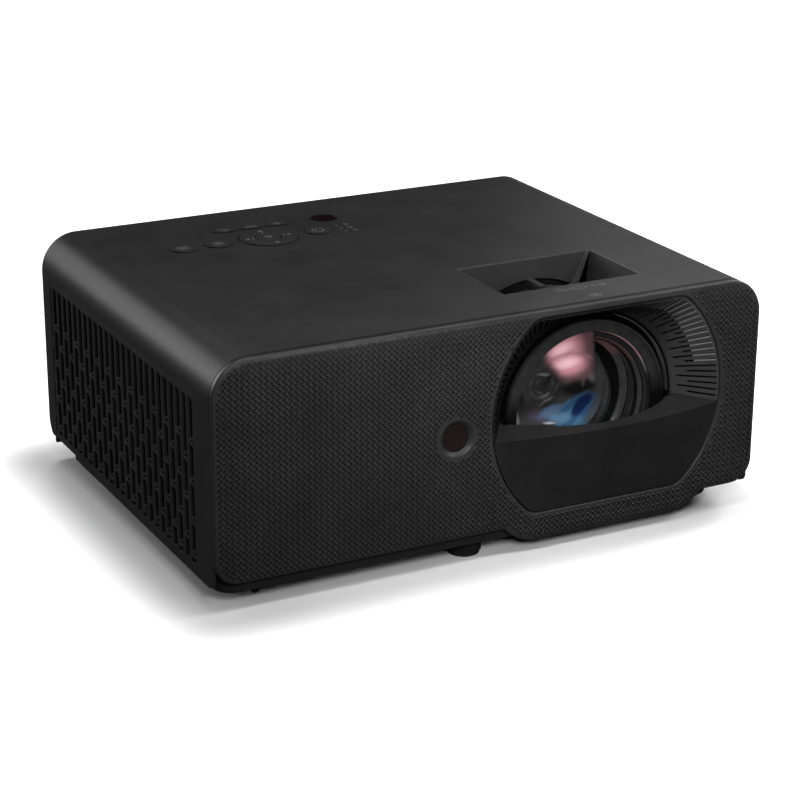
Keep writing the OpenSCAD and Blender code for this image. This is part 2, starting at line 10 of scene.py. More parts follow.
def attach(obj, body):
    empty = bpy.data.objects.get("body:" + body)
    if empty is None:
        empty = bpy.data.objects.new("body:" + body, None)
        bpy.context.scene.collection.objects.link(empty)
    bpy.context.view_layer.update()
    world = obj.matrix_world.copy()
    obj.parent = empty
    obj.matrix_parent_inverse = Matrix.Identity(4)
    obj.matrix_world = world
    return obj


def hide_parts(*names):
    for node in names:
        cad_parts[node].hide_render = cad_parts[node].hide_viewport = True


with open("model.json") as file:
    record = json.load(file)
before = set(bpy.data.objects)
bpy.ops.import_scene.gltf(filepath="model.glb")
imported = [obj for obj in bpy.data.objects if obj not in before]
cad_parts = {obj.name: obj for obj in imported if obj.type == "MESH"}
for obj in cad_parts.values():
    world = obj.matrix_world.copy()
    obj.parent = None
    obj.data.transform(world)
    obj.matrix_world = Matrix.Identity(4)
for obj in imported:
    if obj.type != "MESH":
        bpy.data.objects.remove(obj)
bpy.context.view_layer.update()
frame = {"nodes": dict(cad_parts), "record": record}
N = frame["nodes"]
scene = bpy.context.scene
BODY = {n: b for b, ns in frame["record"]["behaviour"]["bodies"].items() for n in ns}
MM = 0.001

# ------------------------------------------------------------------ layout
# Numbers of the casing in millimetres, in the CAD frame.
HW = 208.0
TOP = 174.0
YF = -154.5            # face of the front panel
LX, LZ = 85.5, 86.5    # lens axis
OPEN_R, OPEN_Z = 91.9, 98.6
ODX, ODZ = 53.9, 56.2
OA = math.degrees(math.atan2(ODZ, ODX))
PANEL_Z = 21.0
EDGE_R = 27.0
RING_S = 29.0


def V3(x, s, z):
    """A point from millimetres: x, depth behind the front panel's face, z."""
    return Vector((x * MM, (YF + s) * MM, z * MM))


# ------------------------------------------------------------------ camera
def add_camera():
    az, el, roll = math.radians(-27.5), math.radians(20.14), math.radians(0.29)
    back = Vector((math.sin(az) * math.cos(el), -math.cos(az) * math.cos(el), math.sin(el)))
    fwd = -back
    right = fwd.cross(Vector((0, 0, 1))).normalized()
    up = right.cross(fwd)
    r = right * math.cos(roll) + up * math.sin(roll)
    u = -right * math.sin(roll) + up * math.cos(roll)
    cam = bpy.data.cameras.new("camera")
    cam.lens, cam.sensor_width, cam.sensor_fit = 102.3, 36.0, "HORIZONTAL"
    cam.clip_start, cam.clip_end = 0.05, 60.0
    ob = bpy.data.objects.new("camera", cam)
    scene.collection.objects.link(ob)
    m = Matrix((r, u, back)).transposed().to_4x4()
    m.translation = Vector((-0.7154, -1.3825, 0.6363))
    ob.matrix_world = m
    scene.camera = ob


add_camera()
scene.view_settings.view_transform = "Standard"
scene.view_settings.look = "None"


# ------------------------------------------------------------------ materials
class Mat:
    """Builds a procedural material; coordinates are the object's own, in metres."""

    def __init__(self, name, base, rough, spec=0.5, metallic=0.0):
        self.m = bpy.data.materials.new(name)
        self.m.use_nodes = True
        self.t = self.m.node_tree
        self.b = self.t.nodes["Principled BSDF"]
        self.b.inputs["Base Color"].default_value = (*base, 1)
        self.b.inputs["Roughness"].default_value = rough
        self.b.inputs["Specular IOR Level"].default_value = spec
        self.b.inputs["Metallic"].default_value = metallic
        self.co = self.t.nodes.new("ShaderNodeTexCoord")
        self.height = None
        self.base = base
        self.rough = rough

    def node(self, kind, **kw):
        n = self.t.nodes.new(kind)
        for k, v in kw.items():
            setattr(n, k, v)
        return n

    def link(self, a, b):
        self.t.links.new(a, b)

    def noise(self, scale, detail=2.0, rough=0.5, dim=None, stretch=None):
        n = self.node("ShaderNodeTexNoise")
        n.inputs["Scale"].default_value = scale
        n.inputs["Detail"].default_value = detail
        n.inputs["Roughness"].default_value = rough
        src = self.co.outputs["Object"]
        if stretch:
            mp = self.node("ShaderNodeMapping")
            mp.inputs["Scale"].default_value = stretch
            self.link(src, mp.inputs["Vector"])
            src = mp.outputs["Vector"]
        self.link(src, n.inputs["Vector"])
        return n.outputs["Fac"]

    def ramp(self, fac, lo, hi, a=0.3, b=0.7):
        """Maps fac from a..b to lo..hi."""
        n = self.node("ShaderNodeMapRange")
        n.inputs["From Min"].default_value, n.inputs["From Max"].default_value = a, b
        n.inputs["To Min"].default_value, n.inputs["To Max"].default_value = lo, hi
        self.link(fac, n.inputs["Value"])
        return n.outputs["Result"]

    def vary_colour(self, fac, dark, light, a=0.3, b=0.7):
        n = self.node("ShaderNodeMix", data_type="RGBA")
        n.inputs["A"].default_value = (*dark, 1)
        n.inputs["B"].default_value = (*light, 1)
        self.link(self.ramp(fac, 0, 1, a, b), n.inputs["Factor"])
        self.link(n.outputs["Result"], self.b.inputs["Base Color"])
        return self

    def vary_rough(self, fac, lo, hi, a=0.3, b=0.7):
        self.link(self.ramp(fac, lo, hi, a, b), self.b.inputs["Roughness"])
        return self

    def bump(self, fac, distance, strength=1.0):
        n = self.node("ShaderNodeBump")
        n.inputs["Distance"].default_value = distance
        n.inputs["Strength"].default_value = strength
        self.link(fac, n.inputs["Height"])
        if self.height is not None:
            self.link(self.height, n.inputs["Normal"])
        self.height = n.outputs["Normal"]
        self.link(self.height, self.b.inputs["Normal"])
        return self


def plastic(name, base, rough, spec=0.25, grain=2600.0, depth=0.000012, spread=0.18):
    m = Mat(name, base, rough, spec)
    g = m.noise(grain, 2.0, 0.6)
    big = m.noise(26.0, 3.0, 0.55)
    lo = tuple(c * (1 - spread) for c in base)
    hi = tuple(c * (1 + spread) for c in base)
    m.vary_colour(big, lo, hi)
    m.vary_rough(g, rough - 0.035, rough + 0.035)
    m.bump(g, depth)
    return m.m


BLACK = plastic("casing_black", (0.0240, 0.0240, 0.0243), 0.42, 0.2)
PANEL = plastic("panel_black", (0.0300, 0.0300, 0.0304), 0.38, 0.25, grain=3800.0, depth=0.000008)
# near black for the top-facing edge wall along the panel's top: painted shade of the recessed lip
PANEL_TOP_EDGE_SHADE = plastic("panel_top_edge_painted_shade", (0.0060, 0.0060, 0.0061), 0.5, 0.15, grain=3800.0, depth=0.000008)
UNDER = plastic("base_black", (0.0170, 0.0170, 0.0172), 0.52, 0.2, grain=1800.0, depth=0.00002)
COVER = plastic("lens_cover_black", (0.0150, 0.0150, 0.0152), 0.36, 0.2, grain=3200.0, depth=0.000006)
# painted light: up-facing faces of the lens cover take this paler copy of its plastic
COVER_TOP_LIT = plastic("lens_cover_top_painted_light", (0.0270, 0.0270, 0.0273), 0.36, 0.25, grain=3200.0, depth=0.000006)
# painted highlight: pale bevels along the lens cover's front edges
COVER_EDGE_HIGHLIGHT = plastic("lens_cover_edge_painted_highlight", (0.1600, 0.1600, 0.1610), 0.32, 0.35, grain=3200.0, depth=0.000006)


def by_x(name, stops, rough, spec):
    """Plastic whose grey changes across the lens opening, used for painted light and shade there; stops are (mm from
    the lens axis, grey).
    """
    m = Mat(name, (0.02, 0.02, 0.02), rough, spec)
    sep = m.node("ShaderNodeSeparateXYZ")
    m.link(m.co.outputs["Object"], sep.inputs[0])
    at = m.ramp(sep.outputs["X"], 0.0, 1.0, (85.5 - 80) * 0.001, (85.5 + 80) * 0.001)
    n = m.node("ShaderNodeValToRGB")
    e = n.color_ramp.elements
    e[0].position, e[0].color = (stops[0][0] + 80) / 160, (*(stops[0][1],) * 3, 1)
    e[1].position, e[1].color = (stops[-1][0] + 80) / 160, (*(stops[-1][1],) * 3, 1)
    for x, g in stops[1:-1]:
        k = e.new((x + 80) / 160)
        k.color = (g, g, g, 1)
    m.link(at, n.inputs["Fac"])
    m.link(n.outputs["Color"], m.b.inputs["Base Color"])
    g = m.noise(3000.0, 2.0, 0.6)
    m.vary_rough(g, rough - 0.035, rough + 0.035)
    m.bump(g, 0.000008)
    return m.m


# painted light and shade: the funnel is dark at the left and pale at the right, where light falls
FUNNEL = by_x("funnel_black", ((-80, 0.012), (-30, 0.012), (0, 0.009), (25, 0.013), (45, 0.022), (56, 0.030), (68, 0.052)), 0.40, 0.0)
# painted shade: near-black groove floors, a little paler at the right
GROOVE = by_x("funnel_groove", ((-80, 0.0008), (0, 0.0012), (60, 0.003), (80, 0.004)), 0.55, 0.0)
# painted highlight: pale walls of the grooves at the upper right, strongest far to the right
GROOVE_LIT = by_x("funnel_groove_painted_highlight", ((-80, 0.002), (0, 0.006), (35, 0.05), (52, 0.11), (80, 0.24)), 0.34, 0.3)
KEYS = plastic("key_black", (0.0250, 0.0250, 0.0253), 0.42, 0.22, grain=3000.0, depth=0.000008)
# painted shade: near-black sides of the keys
KEY_SIDE_SHADE = plastic("key_side_painted_shade", (0.0040, 0.0040, 0.0041), 0.6, 0.1, grain=3000.0, depth=0.000008)
LENS_BLACK = plastic("lens_barrel_black", (0.0220, 0.0220, 0.0223), 0.34, 0.25, grain=3200.0, depth=0.000006)
RING = plastic("ring_black", (0.0180, 0.0180, 0.0185), 0.5, 0.25, grain=2000.0, depth=0.00002)
FOOT = plastic("foot_black", (0.0120, 0.0120, 0.0122), 0.5, 0.22, grain=1700.0, depth=0.00002)
SOLE = plastic("sole_rubber", (0.0170, 0.0170, 0.0170), 0.8, 0.2, grain=1200.0, depth=0.00004)
FANS = plastic("fan_black", (0.0150, 0.0150, 0.0155), 0.45, 0.3, grain=1500.0, depth=0.00002)


def bar_painted_shade_mat():
    """Painted shade on the panel's bars: their lower facets, and the tops of one of the two bar families, are darker
    than its face, and painted paler towards the top edge where more light falls.
    """
    m = Mat("panel_bar_painted_shade", (0.006, 0.006, 0.006), 0.42, 0.15)
    sep = m.node("ShaderNodeSeparateXYZ")
    m.link(m.co.outputs["Object"], sep.inputs[0])
    # painted light: paler towards the top edge
    m.vary_colour(sep.outputs["Z"], (0.0035, 0.0035, 0.0036), (0.020, 0.020, 0.0203), 0.160, 0.1725)
    m.vary_rough(m.noise(3800.0), 0.38, 0.46)
    m.bump(m.noise(3800.0), 0.000008)
    return m.m


BAR_PAINTED_SHADE = bar_painted_shade_mat()


def pcb():
    m = Mat("circuit_board", (0.012, 0.075, 0.03), 0.32, 0.5)
    v = m.node("ShaderNodeTexVoronoi", feature="DISTANCE_TO_EDGE")
    v.inputs["Scale"].default_value = 260.0
    m.link(m.co.outputs["Object"], v.inputs["Vector"])
    m.vary_colour(v.outputs["Distance"], (0.02, 0.12, 0.05), (0.008, 0.06, 0.024), 0.0, 0.09)
    m.bump(v.outputs["Distance"], 0.00003)
    return m.m


def metal(name, base, rough, grain=900.0, depth=0.00002, stretch=None):
    m = Mat(name, base, rough, 0.5, 1.0)
    g = m.noise(grain, 3.0, 0.6, stretch=stretch)
    m.vary_colour(m.noise(60.0, 2.0), tuple(c * 0.86 for c in base), base)
    m.vary_rough(g, rough - 0.08, rough + 0.1)
    m.bump(g, depth)
    return m.m


PCB = pcb()
CAST = metal("cast_aluminium", (0.55, 0.56, 0.58), 0.42)
STEEL = metal("plated_steel", (0.62, 0.63, 0.65), 0.28, 500.0, 0.00001, (1, 14, 1))
COPPER = metal("copper_tube", (0.72, 0.40, 0.22), 0.25)


def phosphor():
    m = Mat("phosphor_track", (0.85, 0.78, 0.3), 0.6, 0.3)
    m.vary_colour(m.noise(700.0), (0.75, 0.66, 0.22), (0.9, 0.84, 0.38))
    m.bump(m.noise(2500.0), 0.00001)
    return m.m


PHOSPHOR = phosphor()


def ir_glass():
    m = Mat("receiver_window", (0.012, 0.003, 0.004), 0.09, 0.55)
    m.vary_colour(m.noise(45.0, 2.0), (0.005, 0.0022, 0.0026), (0.011, 0.0038, 0.0045))
    m.vary_rough(m.noise(900.0), 0.20, 0.27)
    m.bump(m.noise(400.0), 0.000002)
    return m.m


IR = ir_glass()


def light_pipe():
    m = Mat("light_pipe", (0.10, 0.10, 0.10), 0.3, 0.5)
    m.vary_colour(m.noise(1500.0), (0.085, 0.085, 0.084), (0.12, 0.12, 0.118))
    m.bump(m.noise(3000.0), 0.000004)
    return m.m


PIPE = light_pipe()


def print_ink():
    m = Mat("legend_ink", (0.15, 0.15, 0.15), 0.55, 0.3)
    m.vary_colour(m.noise(3000.0), (0.13, 0.13, 0.13), (0.17, 0.17, 0.17))
    m.bump(m.noise(5000.0), 0.000003)
    return m.m


INK = print_ink()


# near-black sheets behind the ring and the recess walls: painted shade
def void_black():
    m = Mat("inner_black_painted_shade", (0.0025, 0.0025, 0.0025), 0.7, 0.0)
    m.vary_colour(m.noise(500.0), (0.0018, 0.0018, 0.0018), (0.003, 0.003, 0.003))
    m.bump(m.noise(2000.0), 0.00001)
    return m.m


VOID = void_black()


# ------------------------------------------------------------------ mesh tools
def add_mesh(name, verts, faces, mat, body="root", sharp=35.0, smooth=True, extra=(), kinds=None):
    me = bpy.data.meshes.new(name)
    me.from_pydata([tuple(v) for v in verts], [], [tuple(int(i) for i in f) for f in faces])
    if kinds is not None:
        me.polygons.foreach_set("material_index", kinds)
    me.validate()
    ob = bpy.data.objects.new(name, me)
    scene.collection.objects.link(ob)
    for m in (mat, *extra):
        me.materials.append(m)
    finish_mesh(me, sharp, smooth)
    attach(ob, body)
    return ob


def finish_mesh(me, sharp=35.0, smooth=True):
    me.polygons.foreach_set("use_smooth", [smooth] * len(me.polygons))
    if smooth:
        me.set_sharp_from_angle(angle=math.radians(sharp))
    me.update()


def weighted(ob):
    m = ob.modifiers.new("normals", "WEIGHTED_NORMAL")
    m.keep_sharp = True
    m.weight = 60


def softened(node, width, mat, segs=2, angle=30.0, clean=0.6, sharp=40.0, keep=None, name=None, side=None,
             edge=None):
    """A copy of a CAD piece with its sharp edges broken, as a moulded or turned part has them."""
    src = N[node]
    me = src.data.copy()
    me.materials.clear()
    ob = bpy.data.objects.new(name or node + "_finished", me)
    scene.collection.objects.link(ob)
    bm = bmesh.new()
    bm.from_mesh(me)
    for f in bm.faces:
        f.material_index = 0
    bmesh.ops.remove_doubles(bm, verts=bm.verts, dist=2e-6)
    bmesh.ops.dissolve_limit(bm, angle_limit=math.radians(clean), verts=bm.verts, edges=bm.edges)
    lim = math.radians(angle)
    edges = [e for e in bm.edges if len(e.link_faces) == 2 and e.calc_face_angle(0) > lim
             and (keep is None or keep(e))]
    if edges and width > 0:
        bmesh.ops.bevel(bm, geom=edges, offset=width * MM, offset_type="OFFSET", segments=segs,
                        profile=0.5, affect="EDGES", clamp_overlap=True)
    bmesh.ops.recalc_face_normals(bm, faces=bm.faces)
    bm.to_mesh(me)
    bm.free()
    for a in list(me.attributes):
        if a.name in ("custom_normal",):
            me.attributes.remove(a)
    me.materials.append(mat)
    # faces that do not face up take the side material: a darker copy as painted shade
    if side:
        me.materials.append(side)
        for p in me.polygons:
            if p.normal.z < 0.35:
                p.material_index = 1
    # bevel faces turned up and forward take the edge material: a pale copy as a painted highlight
    if edge:
        me.materials.append(edge)
        for p in me.polygons:
            if 0.30 < p.normal.z < 0.93 and p.normal.y < -0.3:
                p.material_index = 2
    finish_mesh(me, sharp)
    weighted(ob)
    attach(ob, BODY[node])
    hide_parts(node)
    return ob


def paint(node, mat):
    ob = N[node]
    for i in range(len(ob.material_slots)):
        ob.material_slots[i].material = mat
    if not ob.material_slots:
        ob.data.materials.append(mat)


def arc(cx, cz, r, a0, a1, n):
    return [(cx + r * math.cos(math.radians(a0 + (a1 - a0) * k / n)),
             cz + r * math.sin(math.radians(a0 + (a1 - a0) * k / n))) for k in range(n + 1)]


def opening(i, n=48, m=12):
    """Outline of the lens opening drawn in by i, anticlockwise seen from the front."""
    p = arc(LX, OPEN_Z, OPEN_R - i, -OA, OA, n)
    p += arc(LX + ODX, OPEN_Z + ODZ, 14 - i, OA, 90, m)
    p += arc(LX - ODX, OPEN_Z + ODZ, 14 - i, 90, 180 - OA, m)
    p += arc(LX, OPEN_Z, OPEN_R - i, 180 - OA, 180 + OA, n)
    p += arc(LX - ODX, OPEN_Z - ODZ, 14 - i, 180 + OA, 270, m)
    p += arc(LX + ODX, OPEN_Z - ODZ, 14 - i, 270, 360 - OA, m)
    out = []
    for q in p:
        if not out or math.hypot(q[0] - out[-1][0], q[1] - out[-1][1]) > 1e-4:
            out.append(q)
    return out


def resample(points, step, closed=True):
    p = np.array(points + points[:1] if closed else points, float)
    d = np.r_[0, np.cumsum(np.hypot(*np.diff(p, axis=0).T))]
    n = max(8, int(round(d[-1] / step)))
    t = np.linspace(0, d[-1], n + 1)[:-1]
    return np.c_[np.interp(t, d, p[:, 0]), np.interp(t, d, p[:, 1])]


def seg_distance(pts, loop):
    """Distance of each point to a closed polyline."""
    a = loop
    b = np.roll(loop, -1, axis=0)
    ab = b - a
    L = (ab ** 2).sum(1)
    L[L == 0] = 1e-12
    best = np.full(len(pts), 1e9)
    for k in range(len(a)):
        t = np.clip(((pts - a[k]) @ ab[k]) / L[k], 0, 1)
        q = a[k] + t[:, None] * ab[k]
        best = np.minimum(best, np.hypot(*(pts - q).T))
    return best


def inside(pts, loop):
    x, y = pts[:, 0], pts[:, 1]
    c = np.zeros(len(pts), bool)
    a = loop
    b = np.roll(loop, -1, axis=0)
    for k in range(len(a)):
        (x0, y0), (x1, y1) = a[k], b[k]
        if y0 == y1:
            continue
        hit = (y0 > y) != (y1 > y)
        c ^= hit & (x < (x1 - x0) * (y - y0) / (y1 - y0) + x0)
    return c


# ------------------------------------------------------------------ front panel
BAR_PITCH, BAR_L, BAR_W, BAR_H = 4.15, 3.72, 1.90, 0.62
EDGE_ROUND, EDGE_DROP = 2.3, 1.7
PANEL_T = 5.2


def panel_outline(d):
    """Outline of the panel with its apron, drawn in by d; anticlockwise from the front."""
    pts = []

    def line(a, b, n):
        for k in range(n):
            pts.append((a[0] + (b[0] - a[0]) * k / n, a[1] + (b[1] - a[1]) * k / n))

    zb = PANEL_Z + d
    R = OPEN_R + 20 - d
    r = 34 - d
    cut = math.degrees(math.asin((OPEN_Z - zb) / R))
    x1 = LX - R * math.cos(math.radians(cut))
    x2 = LX + R * math.cos(math.radians(cut))
    line((-HW + 17, zb), (x1, zb), 24)
    pts.extend(arc(LX, OPEN_Z, R, 180 + cut, 180 + OA, 2)[:-1])
    pts.extend(arc(LX - ODX, OPEN_Z - ODZ, r, 180 + OA, 270, 10)[:-1])
    line((LX - ODX, OPEN_Z - ODZ - r), (LX + ODX, OPEN_Z - ODZ - r), 14)
    pts.extend(arc(LX + ODX, OPEN_Z - ODZ, r, 270, 360 - OA, 10)[:-1])
    pts.extend(arc(LX, OPEN_Z, R, -OA, -cut, 2)[:-1])
    line((x2, zb), (HW - 17, zb), 3)
    pts.extend(arc(HW - 17, PANEL_Z + 17, 17 - d, 270, 360, 14)[:-1])
    line((HW - d, PANEL_Z + 17), (HW - d, TOP - EDGE_R), 14)
    pts.extend(arc(HW - EDGE_R, TOP - EDGE_R, EDGE_R - d, 0, 90, 24)[:-1])
    line((HW - EDGE_R, TOP - d), (-HW + EDGE_R, TOP - d), 50)
    pts.extend(arc(-HW + EDGE_R, TOP - EDGE_R, EDGE_R - d, 90, 180, 24)[:-1])
    line((-HW + d, TOP - EDGE_R), (-HW + d, PANEL_Z + 17), 14)
    pts.extend(arc(-HW + 17, PANEL_Z + 17, 17 - d, 180, 270, 14)[:-1])
    return pts


def build_front_panel():
    verts, faces = [], []

    def ring(pts, depth):
        b = len(verts)
        verts.extend([V3(x, depth, z) for x, z in pts])
        return list(range(b, b + len(pts)))

    def bridge(a, b, flip=False):
        n = len(a)
        for k in range(n):
            q = (a[k], a[(k + 1) % n], b[(k + 1) % n], b[k])
            faces.append(q[::-1] if flip else q)

    # rounded outer edge, from the back face round to the front
    start = 1.25
    R = EDGE_ROUND
    rings = [ring(panel_outline(0.25), PANEL_T), ring(panel_outline(0.0), PANEL_T - 0.25)]
    a_end = math.acos((R - start) / R)
    for k in range(0, 8):
        a = a_end * k / 7
        rings.append(ring(panel_outline(R * (1 - math.cos(a))), EDGE_DROP * (1 - math.sin(a))))
    kinds = []
    for k, (a, b) in enumerate(zip(rings[:-1], rings[1:])):
        bridge(a, b)
        # painted shade: the top-facing edge wall near the top takes the near-black material
        kinds += [2 if k < 2 and verts[i].z > (TOP - 2.5) * MM else 0 for i in a]
    outer = rings[-1]
    # edge of the lens opening
    q = 1.0
    op = [ring(opening(0.0), PANEL_T)]
    for k in range(0, 6):
        a = math.radians(90) * k / 5
        op.append(ring(opening(-q * (1 - math.cos(a))), q * (1 - math.sin(a))))
    for a, b in zip(op[:-1], op[1:]):
        bridge(a, b, True)
    hole = op[-1]
    # dished rim of the receiver window
    ix, iz = -33.2, 93.9
    ir = [(10.0, PANEL_T), (10.0, 2.5), (10.15, 2.2), (12.5, 0.42), (12.85, 0.16), (13.2, 0.03), (13.7, 0.0)]
    irr = [ring(arc(ix, iz, r, 0, 360, 72)[:-1], s) for r, s in ir]
    for a, b in zip(irr[:-1], irr[1:]):
        bridge(a, b, True)
    dish = irr[-1]

    # raised bars, in a basket-weave lattice
    out0 = np.array(panel_outline(0.0))
    coarse = out0
    hole_loop = np.array(opening(-q))
    ii, jj = np.meshgrid(np.arange(-2, 104), np.arange(-30, 24), indexing="ij")
    cand = []
    for fam, (fx, sgn) in enumerate(((0.0, -1), (BAR_PITCH / 2, 1))):
        x = -198.35 + BAR_PITCH * ii.ravel() + fx - BAR_PITCH * 2
        z = 90.8 + BAR_PITCH * jj.ravel() + fx
        cand.append(np.c_[x, z, np.full(len(x), sgn)])
    cand = np.vstack(cand)
    cand = cand[(abs(cand[:, 0]) < HW - 2.5) & (cand[:, 1] < TOP - 2.5) & (cand[:, 1] > 10)]
    c = cand[:, :2]
    d_out = seg_distance(c, coarse)
    d_hole = seg_distance(c, hole_loop)
    d_ir = np.hypot(c[:, 0] - ix, c[:, 1] - iz)
    ok = inside(c, coarse) & ~inside(c, hole_loop) & (d_out > start + 1.95) & (d_ir > 13.7 + 2.0)
    # a bar along the opening's edge may lie closer to it than one that points at it
    ok &= d_hole > 1.2
    cand, d_out, d_hole = cand[ok], d_out[ok], d_hole[ok]
    h = (BAR_L - BAR_W) / 2
    w = BAR_W / 2
    oct_ = [(h + w * math.cos(math.radians(t)), w * math.sin(math.radians(t))) for t in (-67.5, -22.5, 22.5, 67.5)]
    oct_ += [(-x, z) for x, z in oct_[::-1]]
    oct_ = np.array(oct_)
    top = np.array([(h + 0.2, -w * 0.02), (h + 0.2, w * 0.62), (-h - 0.2, w * 0.62), (-h - 0.2, -w * 0.02)])
    r2 = math.sqrt(0.5)
    near = d_hole < 3.0
    keep = np.ones(len(cand), bool)
    for k in np.nonzero(near)[0]:
        x, z, s = cand[k]
        o = np.c_[oct_[:, 0] * r2 - s * oct_[:, 1] * r2, s * oct_[:, 0] * r2 + oct_[:, 1] * r2] + [x, z]
        if inside(o, hole_loop).any() or seg_distance(o, hole_loop).min() < 0.25:
            keep[k] = False
    cand, d_out = cand[keep], d_out[keep]

    def base_depth(d):
        return np.where(d < R, EDGE_DROP * (1 - np.sqrt(np.maximum(1 - ((R - np.minimum(d, R)) / R) ** 2, 0))), 0.0)

    s = cand[:, 2:3]
    ox = oct_[None, :, 0] * r2 - s * oct_[None, :, 1] * r2 + cand[:, 0:1]
    oz = s * oct_[None, :, 0] * r2 + oct_[None, :, 1] * r2 + cand[:, 1:2]
    tx = top[None, :, 0] * r2 - s * top[None, :, 1] * r2 + cand[:, 0:1]
    tz = s * top[None, :, 0] * r2 + top[None, :, 1] * r2 + cand[:, 1:2]
    O = np.stack([ox, oz], -1).reshape(-1, 2)
    T = np.stack([tx, tz], -1).reshape(-1, 2)
    dO = base_depth(seg_distance(O, coarse))
    dT = base_depth(seg_distance(T, coarse))
    fade = np.clip((d_out - 2.2) / 3.6, 0, 1) ** 0.6
    dT = dT - np.repeat(fade * BAR_H, 4)
    nb = len(cand)
    base = len(verts)
    verts.extend([V3(x, d, z) for (x, z), d in zip(O, dO)])
    tbase = len(verts)
    verts.extend([V3(x, d, z) for (x, z), d in zip(T, dT)])

    # skin between the bars
    loops = [outer, hole, dish]
    idx = [i for l in loops for i in l] + list(range(base, base + 8 * nb))
    pts = [Vector((verts[i].x / MM, verts[i].z / MM)) for i in idx]
    edges = []
    off = 0
    for l in loops:
        n = len(l)
        edges += [(off + k, off + (k + 1) % n) for k in range(n)]
        off += n
    for b in range(nb):
        edges += [(off + 8 * b + k, off + 8 * b + (k + 1) % 8) for k in range(8)]
    res = delaunay_2d_cdt(pts, edges, [], 0, 1e-7, True)
    rv, rf, orig = res[0], res[2], res[3]
    nloop = off
    mapped = [o[0] if o else -1 for o in orig]
    tri = np.array([[mapped[i] for i in f] for f in rf])
    cen = np.array([[sum(rv[i][0] for i in f) / 3, sum(rv[i][1] for i in f) / 3] for f in rf])
    isbar = (tri >= nloop).all(1)
    same = isbar & ((tri[:, 0] - nloop) // 8 == (tri[:, 1] - nloop) // 8) & ((tri[:, 1] - nloop) // 8 == (tri[:, 2] - nloop) // 8)
    allloop = (tri < nloop).all(1)
    o_poly = np.array([[verts[i].x / MM, verts[i].z / MM] for i in outer])
    h_poly = np.array([[verts[i].x / MM, verts[i].z / MM] for i in hole])
    d_poly = np.array([[verts[i].x / MM, verts[i].z / MM] for i in dish])
    drop = same.copy()
    lp = np.nonzero(allloop)[0]
    c2 = cen[lp]
    bad = ~inside(c2, o_poly) | inside(c2, h_poly) | inside(c2, d_poly)
    drop[lp[bad]] = True
    for t, c3, dr in zip(tri, cen, drop):
        if dr or (t < 0).any():
            continue
        a, b, c4 = (idx[i] for i in t)
        A, B, C = verts[a], verts[b], verts[c4]
        area = (B.x - A.x) * (C.z - A.z) - (C.x - A.x) * (B.z - A.z)
        faces.append((a, b, c4) if area > 0 else (a, c4, b))
    kinds += [0] * (len(faces) - len(kinds))
    for b in range(nb):
        o = [base + 8 * b + k for k in range(8)]
        t = [tbase + 4 * b + k for k in range(4)]
        faces += [(t[0], o[0], o[1]), (t[0], o[1], o[2], t[1]), (t[1], o[2], o[3]), (t[1], o[3], o[4], t[2]),
                  (t[2], o[4], o[5]), (t[2], o[5], o[6], t[3]), (t[3], o[6], o[7]), (t[3], o[7], o[0], t[0]),
                  (t[0], t[1], t[2], t[3])]
        # painted shade: the lower facets of every bar, and the tops of the '/' bars, take the darker underside material
        kinds += [1, 0, 0, 0, 0, 0, 1, 1, 1 if cand[b, 2] > 0 else 0]
    # back face
    back = [rings[0], op[0], irr[0]]
    bidx = [i for l in back for i in l]
    bpts = [Vector((verts[i].x / MM, verts[i].z / MM)) for i in bidx]
    bed = []
    off = 0
    for l in back:
        n = len(l)
        bed += [(off + k, off + (k + 1) % n) for k in range(n)]
        off += n
    res = delaunay_2d_cdt(bpts, bed, [], 0, 1e-7, True)
    bo = [o[0] if o else -1 for o in res[3]]
    polys = [np.array([[verts[i].x / MM, verts[i].z / MM] for i in l]) for l in back]
    for f in res[2]:
        c = np.array([[sum(res[0][i][0] for i in f) / 3, sum(res[0][i][1] for i in f) / 3]])
        if not inside(c, polys[0])[0] or inside(c, polys[1])[0] or inside(c, polys[2])[0]:
            continue
        a, b, c4 = (bidx[bo[i]] for i in f)
        A, B, C = verts[a], verts[b], verts[c4]
        area = (B.x - A.x) * (C.z - A.z) - (C.x - A.x) * (B.z - A.z)
        faces.append((a, c4, b) if area > 0 else (a, b, c4))
    kinds += [0] * (len(faces) - len(kinds))
    ob = add_mesh("front_panel_textured", verts, faces, PANEL, "root", 32.0, extra=(BAR_PAINTED_SHADE, PANEL_TOP_EDGE_SHADE),
                  kinds=kinds)
    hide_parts("front_panel")
    return ob


build_front_panel()


# ------------------------------------------------------------------ funnel
FUN_IN = 70.3          # radius of its inner end
FUN_S0, FUN_S1 = 1.4, 29.0
GROOVE0, GROOVE_STEP = 2.5, 2.85


def polar_radius(i):
    """Distance from the lens axis to the opening's outline (drawn in by i), by angle."""
    p = np.array(resample(opening(i), 0.4))
    a = np.arctan2(p[:, 1] - LZ, p[:, 0] - LX)
    r = np.hypot(p[:, 0] - LX, p[:, 1] - LZ)
    o = np.argsort(a)
    return lambda t: np.interp((t + np.pi) % (2 * np.pi) - np.pi, a[o], r[o], period=2 * np.pi)


